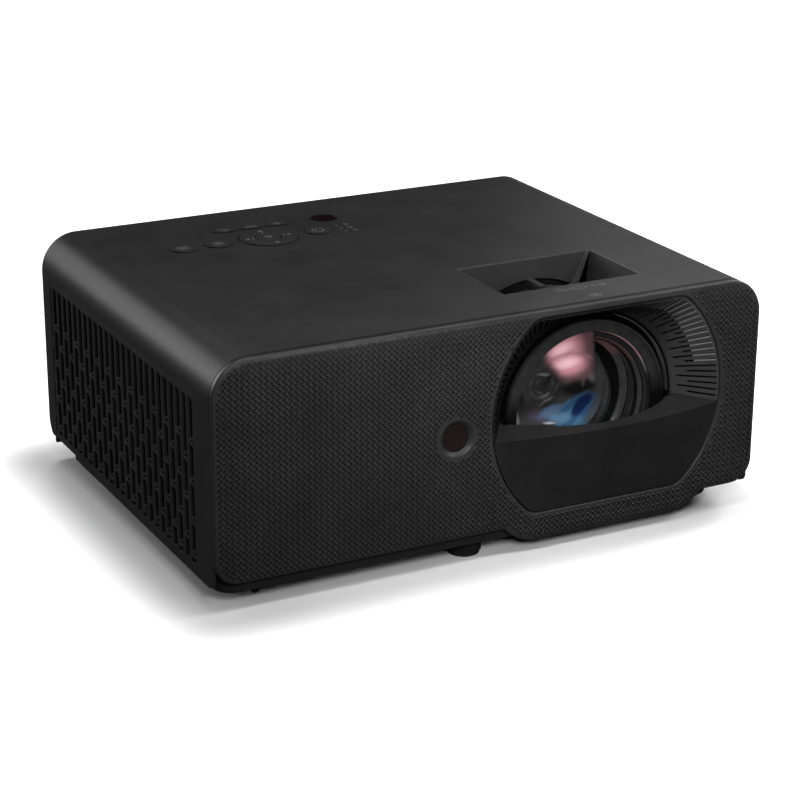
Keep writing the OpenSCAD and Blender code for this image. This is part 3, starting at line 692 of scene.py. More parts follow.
def build_funnel():
    rad = polar_radius(2.6)
    rim = polar_radius(0.35)
    th = []          # column angles at mid radius, with the place across the groove
    lo, hi = 0.2, 179.8
    k = 0
    marks = [(lo, 0.0, None)]
    while True:
        c = GROOVE0 + GROOVE_STEP * k
        if c > 178.0:
            break
        marks += [(c, -1.25, k), (c, -1.0, k), (c, -0.45, k), (c, 0.45, k), (c, 1.0, k), (c, 1.25, k), (c + GROOVE_STEP / 2, 0.0, None)]
        k += 1
    marks.append((hi, 0.0, None))
    ts = np.array([0.0, 0.012, 0.03, 0.08, 0.16, 0.26, 0.36, 0.46, 0.54, 0.6, 0.625, 0.64, 0.66, 0.72, 0.80, 0.85, 0.872, 0.89, 0.94, 1.0])
    half = 0.66
    grid = np.zeros((len(marks), len(ts), 3))
    for i, (c, q, k) in enumerate(marks):
        for j, t in enumerate(ts):
            a = math.radians(c)
            r = (1 - t) * float(rad(a)) + t * FUN_IN
            a += q * half / r
            r = (1 - t) * float(rad(a)) + t * FUN_IN
            s = FUN_S0 + t * (FUN_S1 - FUN_S0)
            depth = 0.0
            if k is not None and abs(q) < 0.9:
                end = 0.64 if k % 2 == 0 else 0.87
                depth = 0.55 + 1.5 * min(t / end, 1.0)
                if t > end - 0.02:
                    depth *= max(0.0, min(1.0, (end + 0.015 - t) / 0.03))
            # the groove is cut at a right angle to the slope
            n = np.array([math.cos(a), 0.0, math.sin(a)])
            sl = np.array([FUN_S1 - FUN_S0, float(rad(a)) - FUN_IN])
            sl = sl / np.hypot(*sl)
            p = np.array([LX + r * math.cos(a), s, LZ + r * math.sin(a)])
            p = p + depth * (n * sl[0] + np.array([0, sl[1], 0]))
            grid[i, j] = p
    verts = [V3(*p) for p in grid.reshape(-1, 3)]
    nt = len(ts)
    faces = []
    kinds = []
    for i in range(len(marks) - 1):
        for j in range(nt - 1):
            a = i * nt + j
            faces.append((a, a + 1, a + nt + 1, a + nt))
            q0, q1, c = marks[i][1], marks[i + 1][1], marks[i][0]
            kind = 0
            # painted shade: groove floors take the near-black groove material
            if marks[i][2] is not None and marks[i][2] == marks[i + 1][2] and -1.1 < q0 < q1 < 1.1:
                end = 0.64 if marks[i][2] % 2 == 0 else 0.87
                if ts[j] < end:
                    kind = 1
                # painted highlight: one wall of the grooves at the upper right, near the outer end, takes the pale
                # groove material
                if q0 < -0.9 and 18.0 < c < 72.0 and ts[j] < 0.42:
                    kind = 2
            kinds.append(kind)
    # flat front rim round the mouth, then a small wall behind it
    n0 = len(verts)
    for i, (c, q, k) in enumerate(marks):
        a = math.radians(c)
        r = float(rad(a))
        a += q * half / r
        for rr, s in ((float(rim(a)) - 0.5, FUN_S0), (float(rim(a)), FUN_S0 + 0.5), (float(rim(a)), 12.0)):
            verts.append(V3(LX + rr * math.cos(a), s, LZ + rr * math.sin(a)))
    for i in range(len(marks) - 1):
        faces.append((n0 + 3 * i, i * nt, (i + 1) * nt, n0 + 3 * i + 3))
        faces.append((n0 + 3 * i + 1, n0 + 3 * i, n0 + 3 * i + 3, n0 + 3 * i + 4))
        faces.append((n0 + 3 * i + 2, n0 + 3 * i + 1, n0 + 3 * i + 4, n0 + 3 * i + 5))
    # inner edge turns back along the axis
    n1 = len(verts)
    for i, (c, q, k) in enumerate(marks):
        p = grid[i, -1]
        verts.append(V3(p[0], 31.5, p[2]))
    for i in range(len(marks) - 1):
        faces.append((i * nt + nt - 1, n1 + i, n1 + i + 1, (i + 1) * nt + nt - 1))
    kinds += [0] * (len(faces) - len(kinds))
    ob = add_mesh("lens_funnel_grooved", verts, faces, FUNNEL, "root", 28.0,
                  extra=(GROOVE, GROOVE_LIT), kinds=kinds)
    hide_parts("lens_funnel")
    return ob


build_funnel()


# ------------------------------------------------------------------ turned parts about the lens axis
def lathe(name, profile, mat, body, n=160, sharp=30.0, a0=0.0, a1=360.0, closed=False):
    """Turns (radius, depth) points about the lens axis; the surface faces left of the way the points run."""
    full = a1 - a0 >= 360
    cols = n if full else n + 1
    verts, faces = [], []
    m = len(profile)
    for i in range(cols):
        a = math.radians(a0 + (a1 - a0) * i / n)
        for r, s in profile:
            verts.append(V3(LX + r * math.cos(a), s, LZ + r * math.sin(a)))
    for i in range(n):
        b = (i + 1) % cols
        for j in range(m if closed else m - 1):
            k = (j + 1) % m
            q = (i * m + j, i * m + k, b * m + k, b * m + j)
            faces.append(q)
    ob = add_mesh(name, verts, faces, mat, body, sharp)
    bm = bmesh.new()
    bm.from_mesh(ob.data)
    bmesh.ops.remove_doubles(bm, verts=bm.verts, dist=1e-7)
    if closed:
        bmesh.ops.recalc_face_normals(bm, faces=bm.faces)
    bm.to_mesh(ob.data)
    bm.free()
    finish_mesh(ob.data, sharp)
    return ob


# ------------------------------------------------------------------ lens
class Field(Mat):
    """A material whose colour is built from plain maths on the object's own coordinates (millimetres)."""

    def maths(self, op, a, b=None, clamp=False):
        n = self.node("ShaderNodeMath", operation=op)
        n.use_clamp = clamp
        for i, v in enumerate((a, b)):
            if v is None:
                continue
            if isinstance(v, (int, float)):
                n.inputs[i].default_value = v
            else:
                self.link(v, n.inputs[i])
        return n.outputs[0]

    def along(self, vec, const):
        """Dot product of the place (mm) with vec, plus const."""
        n = self.node("ShaderNodeVectorMath", operation="DOT_PRODUCT")
        self.link(self.co.outputs["Object"], n.inputs[0])
        n.inputs[1].default_value = tuple(1000.0 * c for c in vec)
        return self.maths("ADD", n.outputs["Value"], const)

    def step(self, v, lo, hi, a=0.0, b=1.0):
        n = self.node("ShaderNodeMapRange", interpolation_type="SMOOTHSTEP")
        n.inputs["From Min"].default_value, n.inputs["From Max"].default_value = lo, hi
        n.inputs["To Min"].default_value, n.inputs["To Max"].default_value = a, b
        self.link(v, n.inputs["Value"])
        return n.outputs["Result"]

    def away(self, x, z, cx, cz, rx=1.0, rz=1.0, turn=0.0):
        """Distance from (cx, cz), measured in the half axes of a turned ellipse."""
        dx = self.maths("SUBTRACT", x, cx)
        dz = self.maths("SUBTRACT", z, cz)
        c, s = math.cos(math.radians(turn)), math.sin(math.radians(turn))
        u = self.maths("ADD", self.maths("MULTIPLY", dx, c / rx), self.maths("MULTIPLY", dz, s / rx))
        v = self.maths("ADD", self.maths("MULTIPLY", dx, -s / rz), self.maths("MULTIPLY", dz, c / rz))
        return self.maths("SQRT", self.maths("ADD", self.maths("MULTIPLY", u, u), self.maths("MULTIPLY", v, v)))

    def spot(self, x, z, cx, cz, rx, rz, turn=0.0, soft=0.4):
        return self.step(self.away(x, z, cx, cz, rx, rz, turn), 1 - soft, 1 + soft, 1.0, 0.0)

    def both(self, *masks):
        v = masks[0]
        for k in masks[1:]:
            v = self.maths("MULTIPLY", v, k)
        return v

    def mixed(self, fac, a, b):
        n = self.node("ShaderNodeMix", data_type="RGBA")
        for key, v in (("Factor", fac), ("A", a), ("B", b)):
            s = n.inputs[key] if key == "Factor" else [q for q in n.inputs if q.name == key and q.type == "RGBA"][0]
            if isinstance(v, tuple):
                s.default_value = (*v, 1)
            elif isinstance(v, (int, float)):
                s.default_value = v
            else:
                self.link(v, s)
        return [q for q in n.outputs if q.type == "RGBA"][0]


DOME_S, DOME_R = 70.2, 39.0


def lens_painted_reflection():
    """Painted reflections on the front element, tinted as a coated lens reflects: rose above, grey swirls at the left,
    blue below, clear at the right.
    """
    m = Field("front_glass_painted_reflection", (0.03, 0.03, 0.03), 0.16, 0.22)
    x = m.along((1, 0, 0), -LX)
    z = m.along((0, 0, 1), -LZ)
    w = m.maths("SUBTRACT", m.noise(85.0, 2.0, 0.5), 0.5)
    w2 = m.maths("SUBTRACT", m.noise(240.0, 2.0, 0.5), 0.5)
    xw = m.maths("ADD", x, m.maths("MULTIPLY", w, 6.0))
    zw = m.maths("ADD", z, m.maths("MULTIPLY", w2, 3.0))
    r1 = m.away(x, z, -34.0, 21.5, 1.15, 0.95, 20.0)
    # painted reflection: grey ground with rings about a point at the left
    ph = m.maths("ADD", m.maths("MULTIPLY", r1, 1.42), m.maths("MULTIPLY", w, 9.0))
    wave = m.step(m.maths("SINE", ph), -1.0, 1.0)
    fine = m.step(m.maths("SINE", m.maths("ADD", m.maths("MULTIPLY", r1, 2.2), m.maths("MULTIPLY", w, 16.0))), -1, 1)
    near = m.step(r1, 5.0, 17.0, 1.0, 0.0)
    patchy = m.step(m.noise(110.0, 2.0), 0.35, 0.65)
    ground = m.mixed(m.step(m.noise(60.0, 3.0), 0.3, 0.7), (0.045, 0.045, 0.046), (0.085, 0.085, 0.085))
    swirl = m.mixed(m.maths("MULTIPLY", wave, patchy), (0.035, 0.035, 0.035), (0.15, 0.15, 0.15))
    col = m.mixed(m.maths("MULTIPLY", near, 0.8), ground, swirl)
    col = m.mixed(m.maths("MULTIPLY", fine, 0.16), col, (0.03, 0.03, 0.03))
    # painted reflection: darker wedge and pale wedge at the far left
    col = m.mixed(m.spot(x, zw, -52.0, 14.0, 2.4, 7.0, 12.0, 0.5), col, (0.03, 0.03, 0.03))
    col = m.mixed(m.spot(x, z, -55.0, -1.0, 2.6, 7.0, 10.0, 0.35), col, (0.22, 0.22, 0.22))
    # painted shade: dark band under the rose reflection
    dark = m.spot(xw, zw, -6.0, 16.5, 15.0, 5.2, 4.0, 0.45)
    col = m.mixed(dark, col, (0.013, 0.013, 0.013))
    col = m.mixed(m.spot(x, zw, -31.0, 24.5, 1.6, 5.2, -38.0, 0.5), col, (0.02, 0.02, 0.02))
    # painted reflection: blue foot, streaked along arcs
    blue = m.both(m.step(m.away(xw, zw, -1.0, -9.0, 25.0, 21.0, 0.0), 0.84, 1.06, 1.0, 0.0), m.step(r1, 18.0, 22.0))
    arcs = m.step(m.maths("SINE", m.maths("ADD", m.maths("MULTIPLY", r1, 0.62), m.maths("MULTIPLY", w, 4.0))), -0.7, 0.7)
    thin = m.step(m.maths("SINE", m.maths("ADD", m.maths("MULTIPLY", r1, 2.3), m.maths("MULTIPLY", w2, 5.0))), -1, 1)
    bl = m.mixed(arcs, (0.045, 0.12, 0.27), (0.10, 0.27, 0.46))
    bl = m.mixed(m.maths("MULTIPLY", thin, 0.3), bl, (0.17, 0.38, 0.62))
    bl = m.mixed(m.spot(xw, z, -3.0, 3.5, 5.2, 10.5, -42.0, 0.35), bl, (0.014, 0.034, 0.125))
    bl = m.mixed(m.spot(xw, z, 1.0, -2.0, 6.5, 2.2, 48.0, 0.5), bl, (0.05, 0.12, 0.30))
    bl = m.mixed(m.spot(xw, z, 4.0, -8.5, 8.0, 3.6, 35.0, 0.5), bl, (0.12, 0.32, 0.50))
    bl = m.mixed(m.spot(x, z, 11.5, -7.0, 3.0, 6.0, -40.0, 0.4), bl, (0.012, 0.035, 0.14))
    col = m.mixed(blue, col, bl)
    # painted reflection: pale lilac, blue and a near-white spot towards the lower left
    col = m.mixed(m.spot(xw, zw, -31.0, -2.0, 13.0, 5.0, -16.0, 0.45), col, (0.13, 0.115, 0.175))
    col = m.mixed(m.spot(xw, zw, -28.0, 2.0, 9.0, 3.6, 14.0, 0.45), col, (0.17, 0.27, 0.45))
    col = m.mixed(m.spot(xw, zw, -21.0, -4.5, 9.0, 4.0, -8.0, 0.5), col, (0.17, 0.33, 0.52))
    col = m.mixed(m.spot(x, z, -28.8, -6.9, 4.2, 0.8, -8.0, 0.7), col, (0.75, 0.78, 0.82))
    # painted highlights in the swirl
    for (a, b, rx, rz, t, g) in ((-34.0, 29.6, 4.2, 1.0, -10.0, 0.30), (-33.0, 14.4, 3.8, 0.8, 12.0, 0.26),
                                 (-31.5, 10.2, 4.8, 0.8, 24.0, 0.27), (-37.5, 17.2, 3.0, 0.6, -30.0, 0.16),
                                 (4.0, 22.0, 4.0, 2.4, -55.0, 0.22), (-2.5, 19.0, 1.2, 3.0, -10.0, 0.12)):
        col = m.mixed(m.maths("MULTIPLY", m.spot(x, zw, a, b, rx, rz, t, 0.7), 0.8), col, (g, g, g))
    # painted reflection: grey rim at the right
    rr = m.away(x, z, -24.5, 16.5)
    band = m.both(m.step(rr, 31.0, 34.0), m.step(x, -8.0, 3.0), m.step(z, 34.0, 22.0))
    col = m.mixed(m.maths("MULTIPLY", band, 0.85), col, (0.085, 0.084, 0.086))
    # everything but the rose reflection is darkened, least so at the foot
    col = m.mixed(m.step(z, -7.0, 7.0, 0.30, 0.62), col, (0.0, 0.0, 0.0))
    # painted reflection: rose patch of a softbox, with painted hot highlights
    low = m.step(m.maths("ADD", zw, m.maths("MULTIPLY", m.maths("ABSOLUTE", m.maths("ADD", x, 8.0)), -0.10)), 17.5, 25.0)
    left = m.step(m.maths("ADD", m.maths("MULTIPLY", z, 0.75), xw), -8.0, 3.0)
    right = m.step(m.maths("ADD", x, m.maths("MULTIPLY", w2, 2.0)), 8.0, 2.0)
    rose = m.both(low, left, right)
    lobe1 = m.step(m.away(x, z, -17.5, 44.0, 14.5, 13.5, 8.0), 0.45, 1.35, 1.0, 0.0)
    lobe2 = m.step(m.away(x, z, -12.5, 33.0, 13.0, 8.6, 4.0), 0.40, 1.35, 1.0, 0.0)
    hot = m.maths("MAXIMUM", lobe1, lobe2)
    core = m.maths("MAXIMUM", m.spot(x, z, -20.0, 45.5, 7.5, 3.4, 14.0, 0.8), m.spot(x, z, -15.5, 35.0, 8.5, 3.4, 4.0, 0.8))
    pink = m.mixed(hot, (0.105, 0.055, 0.064), (0.60, 0.265, 0.315))
    pink = m.mixed(core, pink, (0.97, 0.60, 0.67))
    # painted limb of the second surface, seen through the first
    edge = m.away(x, z, -14.5, 26.5, 22.5, 14.5, 0.0)
    limb = m.both(m.step(edge, 0.985, 1.01), m.step(edge, 1.16, 1.02))
    pink = m.mixed(m.maths("MULTIPLY", limb, 0.45), pink, (0.30, 0.15, 0.175))
    pink = m.mixed(m.step(z, 29.0, 22.0, 0.0, 0.7), pink, (0.11, 0.062, 0.072))
    col = m.mixed(rose, col, pink)
    m.link(col, m.b.inputs["Base Color"])
    m.vary_rough(m.noise(300.0, 2.0), 0.13, 0.19)
    m.bump(m.noise(90.0, 1.0), 0.00001)
    # clear glass to the right of the coloured reflection
    solid = m.step(rr, 40.6, 38.0)
    solid = m.maths("MAXIMUM", solid, m.both(m.step(x, 8.0, 5.0), m.step(z, 18.0, 24.0)))
    solid = m.maths("MAXIMUM", solid, m.step(x, -20.0, -24.0))
    fac = m.step(solid, 0.0, 1.0, 0.04, 1.0)
    clear = m.node("ShaderNodeBsdfTransparent")
    mix = m.node("ShaderNodeMixShader")
    m.link(fac, mix.inputs[0])
    m.link(clear.outputs[0], mix.inputs[1])
    m.link(m.b.outputs[0], mix.inputs[2])
    m.link(mix.outputs[0], m.t.nodes["Material Output"].inputs["Surface"])
    return m.m


def dome_glass():
    """Strongly curved element behind the front glass, with a painted pale ring and a painted dark edge, laid out by how
    far each point turns from one fixed front-left direction.
    """
    m = Field("inner_glass", (0.02, 0.02, 0.02), 0.22, 0.5)
    cx, cy, cz = LX, YF + DOME_S, LZ
    v = (-0.4939 / DOME_R, -0.8006 / DOME_R, 0.3391 / DOME_R)
    d = m.along(v, -(v[0] * cx + v[1] * cy + v[2] * cz))
    n = m.noise(120.0, 2.0)
    col = m.mixed(m.step(n, 0.35, 0.65), (0.026, 0.026, 0.027), (0.042, 0.042, 0.043))
    # painted light: a paler ring partway out towards the edge
    col = m.mixed(m.both(m.step(d, 0.30, 0.36), m.step(d, 0.48, 0.42)), col, (0.06, 0.06, 0.06))
    # painted shade: near black towards the edge
    col = m.mixed(m.step(d, 0.14, 0.09), col, (0.008, 0.008, 0.008))
    m.link(col, m.b.inputs["Base Color"])
    m.vary_rough(m.noise(300.0, 2.0), 0.2, 0.3)
    m.bump(m.noise(90.0, 1.0), 0.00001)
    return m.m


def seat_mat(name, grey, rough, rose=None, fades=None, foot=None):
    m = Field(name, (grey,) * 3, rough, 0.25 if grey > 0.04 else 0.0)
    z = m.along((0, 0, 1), -LZ)
    g = m.noise(160.0, 2.0, 0.5)
    col = m.mixed(m.step(g, 0.3, 0.7), (grey * 0.85,) * 3, (grey * 1.12,) * 3)
    # painted light: a rose tint towards the top
    if rose:
        col = m.mixed(m.step(z, 24.0, 31.0), col, rose)
    # painted shade: darker towards the bottom
    if fades:
        col = m.mixed(m.step(z, 28.0, 12.0), col, (grey * fades,) * 3)
    # painted shade: near black at the foot
    if foot:
        col = m.mixed(m.step(z, 24.0, -2.0), col, (foot,) * 3)
    m.link(col, m.b.inputs["Base Color"])
    m.vary_rough(m.noise(2600.0), rough - 0.04, rough + 0.04)
    m.bump(m.noise(2600.0), 0.000006)
    return m.m


# lit and shaded greys of the cell's black: the bright cone and ledge are painted light, the seat and dark cone painted
# shade
SEAT_DARK = seat_mat("cell_matt_painted_shade", 0.0035, 0.5)
SEAT_MID = seat_mat("cell_satin", 0.010, 0.42, (0.012, 0.008, 0.009))
SEAT_RIB = seat_mat("cell_rib_painted_light", 0.050, 0.42, (0.120, 0.068, 0.076))
SEAT_LIGHT = seat_mat("cell_painted_light", 0.058, 0.34, (0.15, 0.085, 0.095))
SEAT_LINE = seat_mat("cell_trim_painted_highlight", 0.24, 0.28, (0.50, 0.28, 0.31), 0.05)
# painted shade: the ring face darkens to near black towards its foot
RING_FACE = seat_mat("front_ring_black", 0.031, 0.34, None, None, 0.0045)
# painted highlight: pale lip, painted darker towards the bottom
LIP = seat_mat("lens_lip_painted_highlight", 0.075, 0.34, None, 0.5)
SEAT_MID_DARK = seat_mat("cell_satin_painted_shade", 0.024, 0.45)
# painted shade: near-black rings standing in for the gaps between the steps
SEAT_GAP = seat_mat("cell_gap_painted_shade", 0.0018, 0.7)
BODY_CELL = BODY["front_lens_cell"]


def build_cell():
    # ring with a thin rim standing 3 mm proud of its face, on a sleeve that runs back to the glass
    prof = [(60.9, 33.2), (63.4, 33.2), (63.7, 32.9), (63.7, 29.35), (63.55, 29.08), (63.3, 29.0), (62.1, 29.0),
            (61.75, 29.1), (61.6, 29.4), (61.5, 30.75), (61.25, 31.0), (55.9, 31.0), (55.35, 31.12), (55.0, 31.45),
            (55.0, 36.0), (52.6, 36.0), (52.6, 40.5), (50.6, 40.5), (50.6, 54.2), (46.2, 54.2), (46.2, 69.6),
            (60.6, 69.6), (60.9, 69.3)]
    ring = lathe("front_lens_ring", prof, RING_FACE, BODY_CELL, 200, 32.0, closed=True)
    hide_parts("front_lens_cell")
    # trim line just inside the ring, pale grey as a painted highlight
    p = [(54.95, 33.4), (54.6, 33.5), (54.3, 33.8), (54.0, 34.3), (53.9, 34.6), (54.95, 34.6)]
    lathe("lens_trim_line", p, SEAT_LINE, BODY_CELL, 200, 40.0, closed=True)
    # near-black gaps and a dark cone as painted shade, and a pale cone as painted light
    lathe("lens_gap_a", [(54.9, 34.65), (52.9, 34.65), (52.7, 35.6), (54.9, 35.6)], SEAT_GAP, BODY_CELL, 160, closed=True)
    lathe("lens_cone_a", [(53.2, 34.0), (52.9, 34.0), (50.75, 35.2), (50.75, 35.4), (53.2, 35.4)], SEAT_MID_DARK,
          BODY_CELL, 200, 30.0, closed=True)
    lathe("lens_gap_b", [(52.5, 35.45), (50.0, 35.45), (50.0, 36.2), (52.5, 36.2)], SEAT_GAP, BODY_CELL, 160, closed=True)
    lathe("lens_cone_b", [(50.5, 36.2), (49.9, 35.6), (49.6, 35.6), (48.1, 38.1), (48.05, 38.7), (50.5, 38.7)], SEAT_LIGHT,
          BODY_CELL, 200, 30.0, closed=True)
    lathe("lens_gap_c", [(50.5, 38.75), (47.5, 38.75), (47.5, 40.3), (50.5, 40.3)], SEAT_GAP, BODY_CELL, 160, closed=True)
    # long ribbed sleeve; its ribs take a paler grey as painted light, and it has a rose tint towards the top as painted
    # light
    p = [(50.5, 40.3), (47.3, 40.3), (47.3, 41.0)]
    for k, s in enumerate((42.6, 44.6, 46.8, 49.2)):
        r = 47.35 + 0.22 * (k + 1)
        p += [(r - 0.1, s - 0.45), (r - 0.45, s - 0.3), (r - 0.45, s + 0.2), (r + 0.02, s + 0.4)]
        lathe("lens_rib_%d" % k, [(r - 0.4, s - 0.32), (r - 0.62, s - 0.2), (r - 0.66, s + 0.1), (r - 0.4, s + 0.22)], SEAT_RIB,
              BODY_CELL, 160, 30.0, closed=True)
    p += [(48.5, 51.6), (50.5, 51.6)]
    lathe("lens_sleeve", p, SEAT_MID, BODY_CELL, 200, 30.0, closed=True)
    # near-black gap ring as painted shade
    lathe("lens_gap_d", [(50.5, 51.6), (48.3, 51.6), (48.3, 52.3), (50.5, 52.3)], SEAT_GAP, BODY_CELL, 160, closed=True)
    # ledge in front of the glass in a paler grey as painted light, then the seat in near black as painted shade
    p = [(50.5, 52.3), (48.6, 52.3), (48.3, 52.35), (46.4, 53.3), (46.2, 53.25), (44.2, 54.6), (43.9, 54.95), (43.9, 56.0), (50.5, 56.0)]
    lathe("lens_ledge", p, SEAT_LIGHT, BODY_CELL, 200, 30.0, closed=True)
    p = [(46.1, 56.0), (43.8, 56.0), (42.2, 60.0), (41.9, 60.2), (41.9, 61.0), (40.2, 65.0), (39.4, 68.8), (46.1, 68.8)]
    lathe("lens_seat", p, SEAT_DARK, BODY_CELL, 200, 30.0, closed=True)


def build_dome():
    # domed inner element
    p = [(0.02, DOME_S - DOME_R + 2.5)]
    for k in range(1, 49):
        a = math.radians(86.0 * k / 48)
        p.append((DOME_R * math.sin(a), DOME_S - DOME_R * math.cos(a) + (2.5 * (1 - k / 20.0) if k < 20 else 0.0)))
    p += [(38.6, 68.9), (36.0, 69.4), (0.02, 69.4)]
    lathe("lens_dome_glass", p, dome_glass(), BODY["front_lens"], 160, 60.0, closed=True)
    # front element, a shallow cap just behind the ring's face, carrying painted reflections
    p = []
    for k in range(25):
        r = 54.95 * k / 24
        p.append((max(r, 0.02), 32.35 - 2.2 * (1 - (r / 54.95) ** 2)))
    p += [(54.95, 32.75)] + [(max(54.6 * k / 8, 0.02), 32.9 - 1.9 * (1 - (k / 8) ** 2)) for k in range(8, -1, -1)]
    me = lathe("front_lens_glass", p, lens_painted_reflection(), BODY["front_lens"], 160, 60.0, closed=True)
    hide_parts("front_lens")
    # fine lip of the shroud between ring and funnel, at the right, pale grey as a painted highlight
    p = [(67.7, 31.2), (67.9, 30.85), (68.2, 30.7), (68.5, 30.85), (68.6, 31.2), (68.6, 35.0), (67.7, 35.0)]
    lathe("lens_shroud_lip", p, LIP, "root", 90, 30.0, a0=1.5, a1=70.0, closed=True)
    # baffle behind the ring, near black as painted shade
    p = [(62.6, 35.4), (76.5, 35.4), (76.5, 36.2), (62.6, 36.2)]
    lathe("lens_baffle", p, VOID, "root", 120, 30.0, a0=0.5, a1=179.5, closed=True)
    return me


build_cell()
build_dome()


# ------------------------------------------------------------------ focus and zoom rings
def build_ring(node, s0, s1, turn, t0, t1):
    """Ring with close moulded ribs and a finger tab."""
    nrib, per = 112, 6
    cols = nrib * per
    secs = [(64.1, s0 + 0.3), (64.4, s0), (69.6, s0), (70.3, s0 + 0.25), (70.6, s0 + 0.9), (70.7, s0 + 1.6),
            (70.7, s1 - 1.6), (70.6, s1 - 0.9), (70.3, s1 - 0.25), (69.6, s1), (64.4, s1), (64.1, s1 - 0.3)]
    ribs = (0, 0, 0, 0.2, 0.75, 1.0, 1.0, 0.75, 0.2, 0, 0, 0)
    verts, faces = [], []
    for i in range(cols):
        a = 2 * math.pi * i / cols
        h = 0.5 + 0.5 * math.cos(2 * math.pi * (i % per) / per)
        for (r, s), q in zip(secs, ribs):
            rr = r + q * (0.95 * h - 0.35)
            verts.append(V3(LX + rr * math.sin(a), s, LZ + rr * math.cos(a)))
    m = len(secs)
    for i in range(cols):
        b = (i + 1) % cols
        for j in range(m):
            k = (j + 1) % m
            faces.append((i * m + j, b * m + j, b * m + k, i * m + k))
    # tab with a flat top
    n0 = len(verts)
    c, s_ = math.cos(math.radians(turn)), math.sin(math.radians(turn))
    prof = [(-2.5, 70.3), (-2.0, 78.1), (-1.75, 78.42), (-1.3, 78.55), (1.3, 78.55), (1.75, 78.42), (2.0, 78.1), (2.5, 70.3)]
    ends = ((t0, 0.0), (t0 + 0.35, 0.35), (t1 - 0.35, 0.35), (t1, 0.0))
    for s, grow in ends:
        for u, v in prof:
            k = 1.0 if grow else 0.955
            uu, vv = u * k, v if grow else v - (0.35 if v > 75 else 0.0)
            verts.append(V3(LX + uu * c + vv * s_, s, LZ - uu * s_ + vv * c))
    q = len(prof)
    for e in range(3):
        for j in range(q - 1):
            a = n0 + e * q + j
            faces.append((a, a + q, a + q + 1, a + 1))
        faces.append((n0 + e * q + q - 1, n0 + (e + 1) * q + q - 1, n0 + (e + 1) * q, n0 + e * q))
    faces.append(tuple(n0 + j for j in range(q)))
    faces.append(tuple(n0 + 3 * q + j for j in reversed(range(q))))
    ob = add_mesh(node + "_ribbed", verts, faces, RING, BODY[node], 38.0)
    bm = bmesh.new()
    bm.from_mesh(ob.data)
    bmesh.ops.recalc_face_normals(bm, faces=bm.faces)
    bm.to_mesh(ob.data)
    bm.free()
    finish_mesh(ob.data, 38.0)
    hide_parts(node)
    return ob


build_ring("focus_ring", 45.0, 67.0, 14.0, 49.0, 64.0)
build_ring("zoom_ring", 72.0, 96.0, -7.6, 75.0, 95.0)


# ------------------------------------------------------------------ recess over the rings
def plate(name, corners, thick, mat, body="root"):
    """A flat plate: corners (x, s, z) anticlockwise as seen; thickness goes behind."""
    pts = [V3(*c) for c in corners]
    n = (pts[1] - pts[0]).cross(pts[2] - pts[0]).normalized()
    back = [p - n * thick * MM for p in pts]
    k = len(pts)
    faces = [tuple(range(k)), tuple(k + j for j in reversed(range(k)))]
    for j in range(k):
        faces.append((j, k + j, k + (j + 1) % k, (j + 1) % k))
    return add_mesh(name, pts + back, faces, mat, body, 30.0, smooth=False)


def join_pieces(name, obs, mat, replaces=None, body="root", bevel=0.0):
    bm = bmesh.new()
    for o in obs:
        bm.from_mesh(o.data)
        me = o.data
        bpy.data.objects.remove(o)
        bpy.data.meshes.remove(me)
    if bevel:
        edges = [e for e in bm.edges if len(e.link_faces) == 2 and e.calc_face_angle(0) > 0.6]
        bmesh.ops.bevel(bm, geom=edges, offset=bevel * MM, offset_type="OFFSET", segments=2, profile=0.5,
                        affect="EDGES", clamp_overlap=True)
    me = bpy.data.meshes.new(name)
    bm.to_mesh(me)
    bm.free()
    ob = bpy.data.objects.new(name, me)
    scene.collection.objects.link(ob)
    me.materials.append(mat)
    finish_mesh(me, 35.0)
    weighted(ob)
    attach(ob, body)
    if replaces:
        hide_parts(replaces)
    return ob


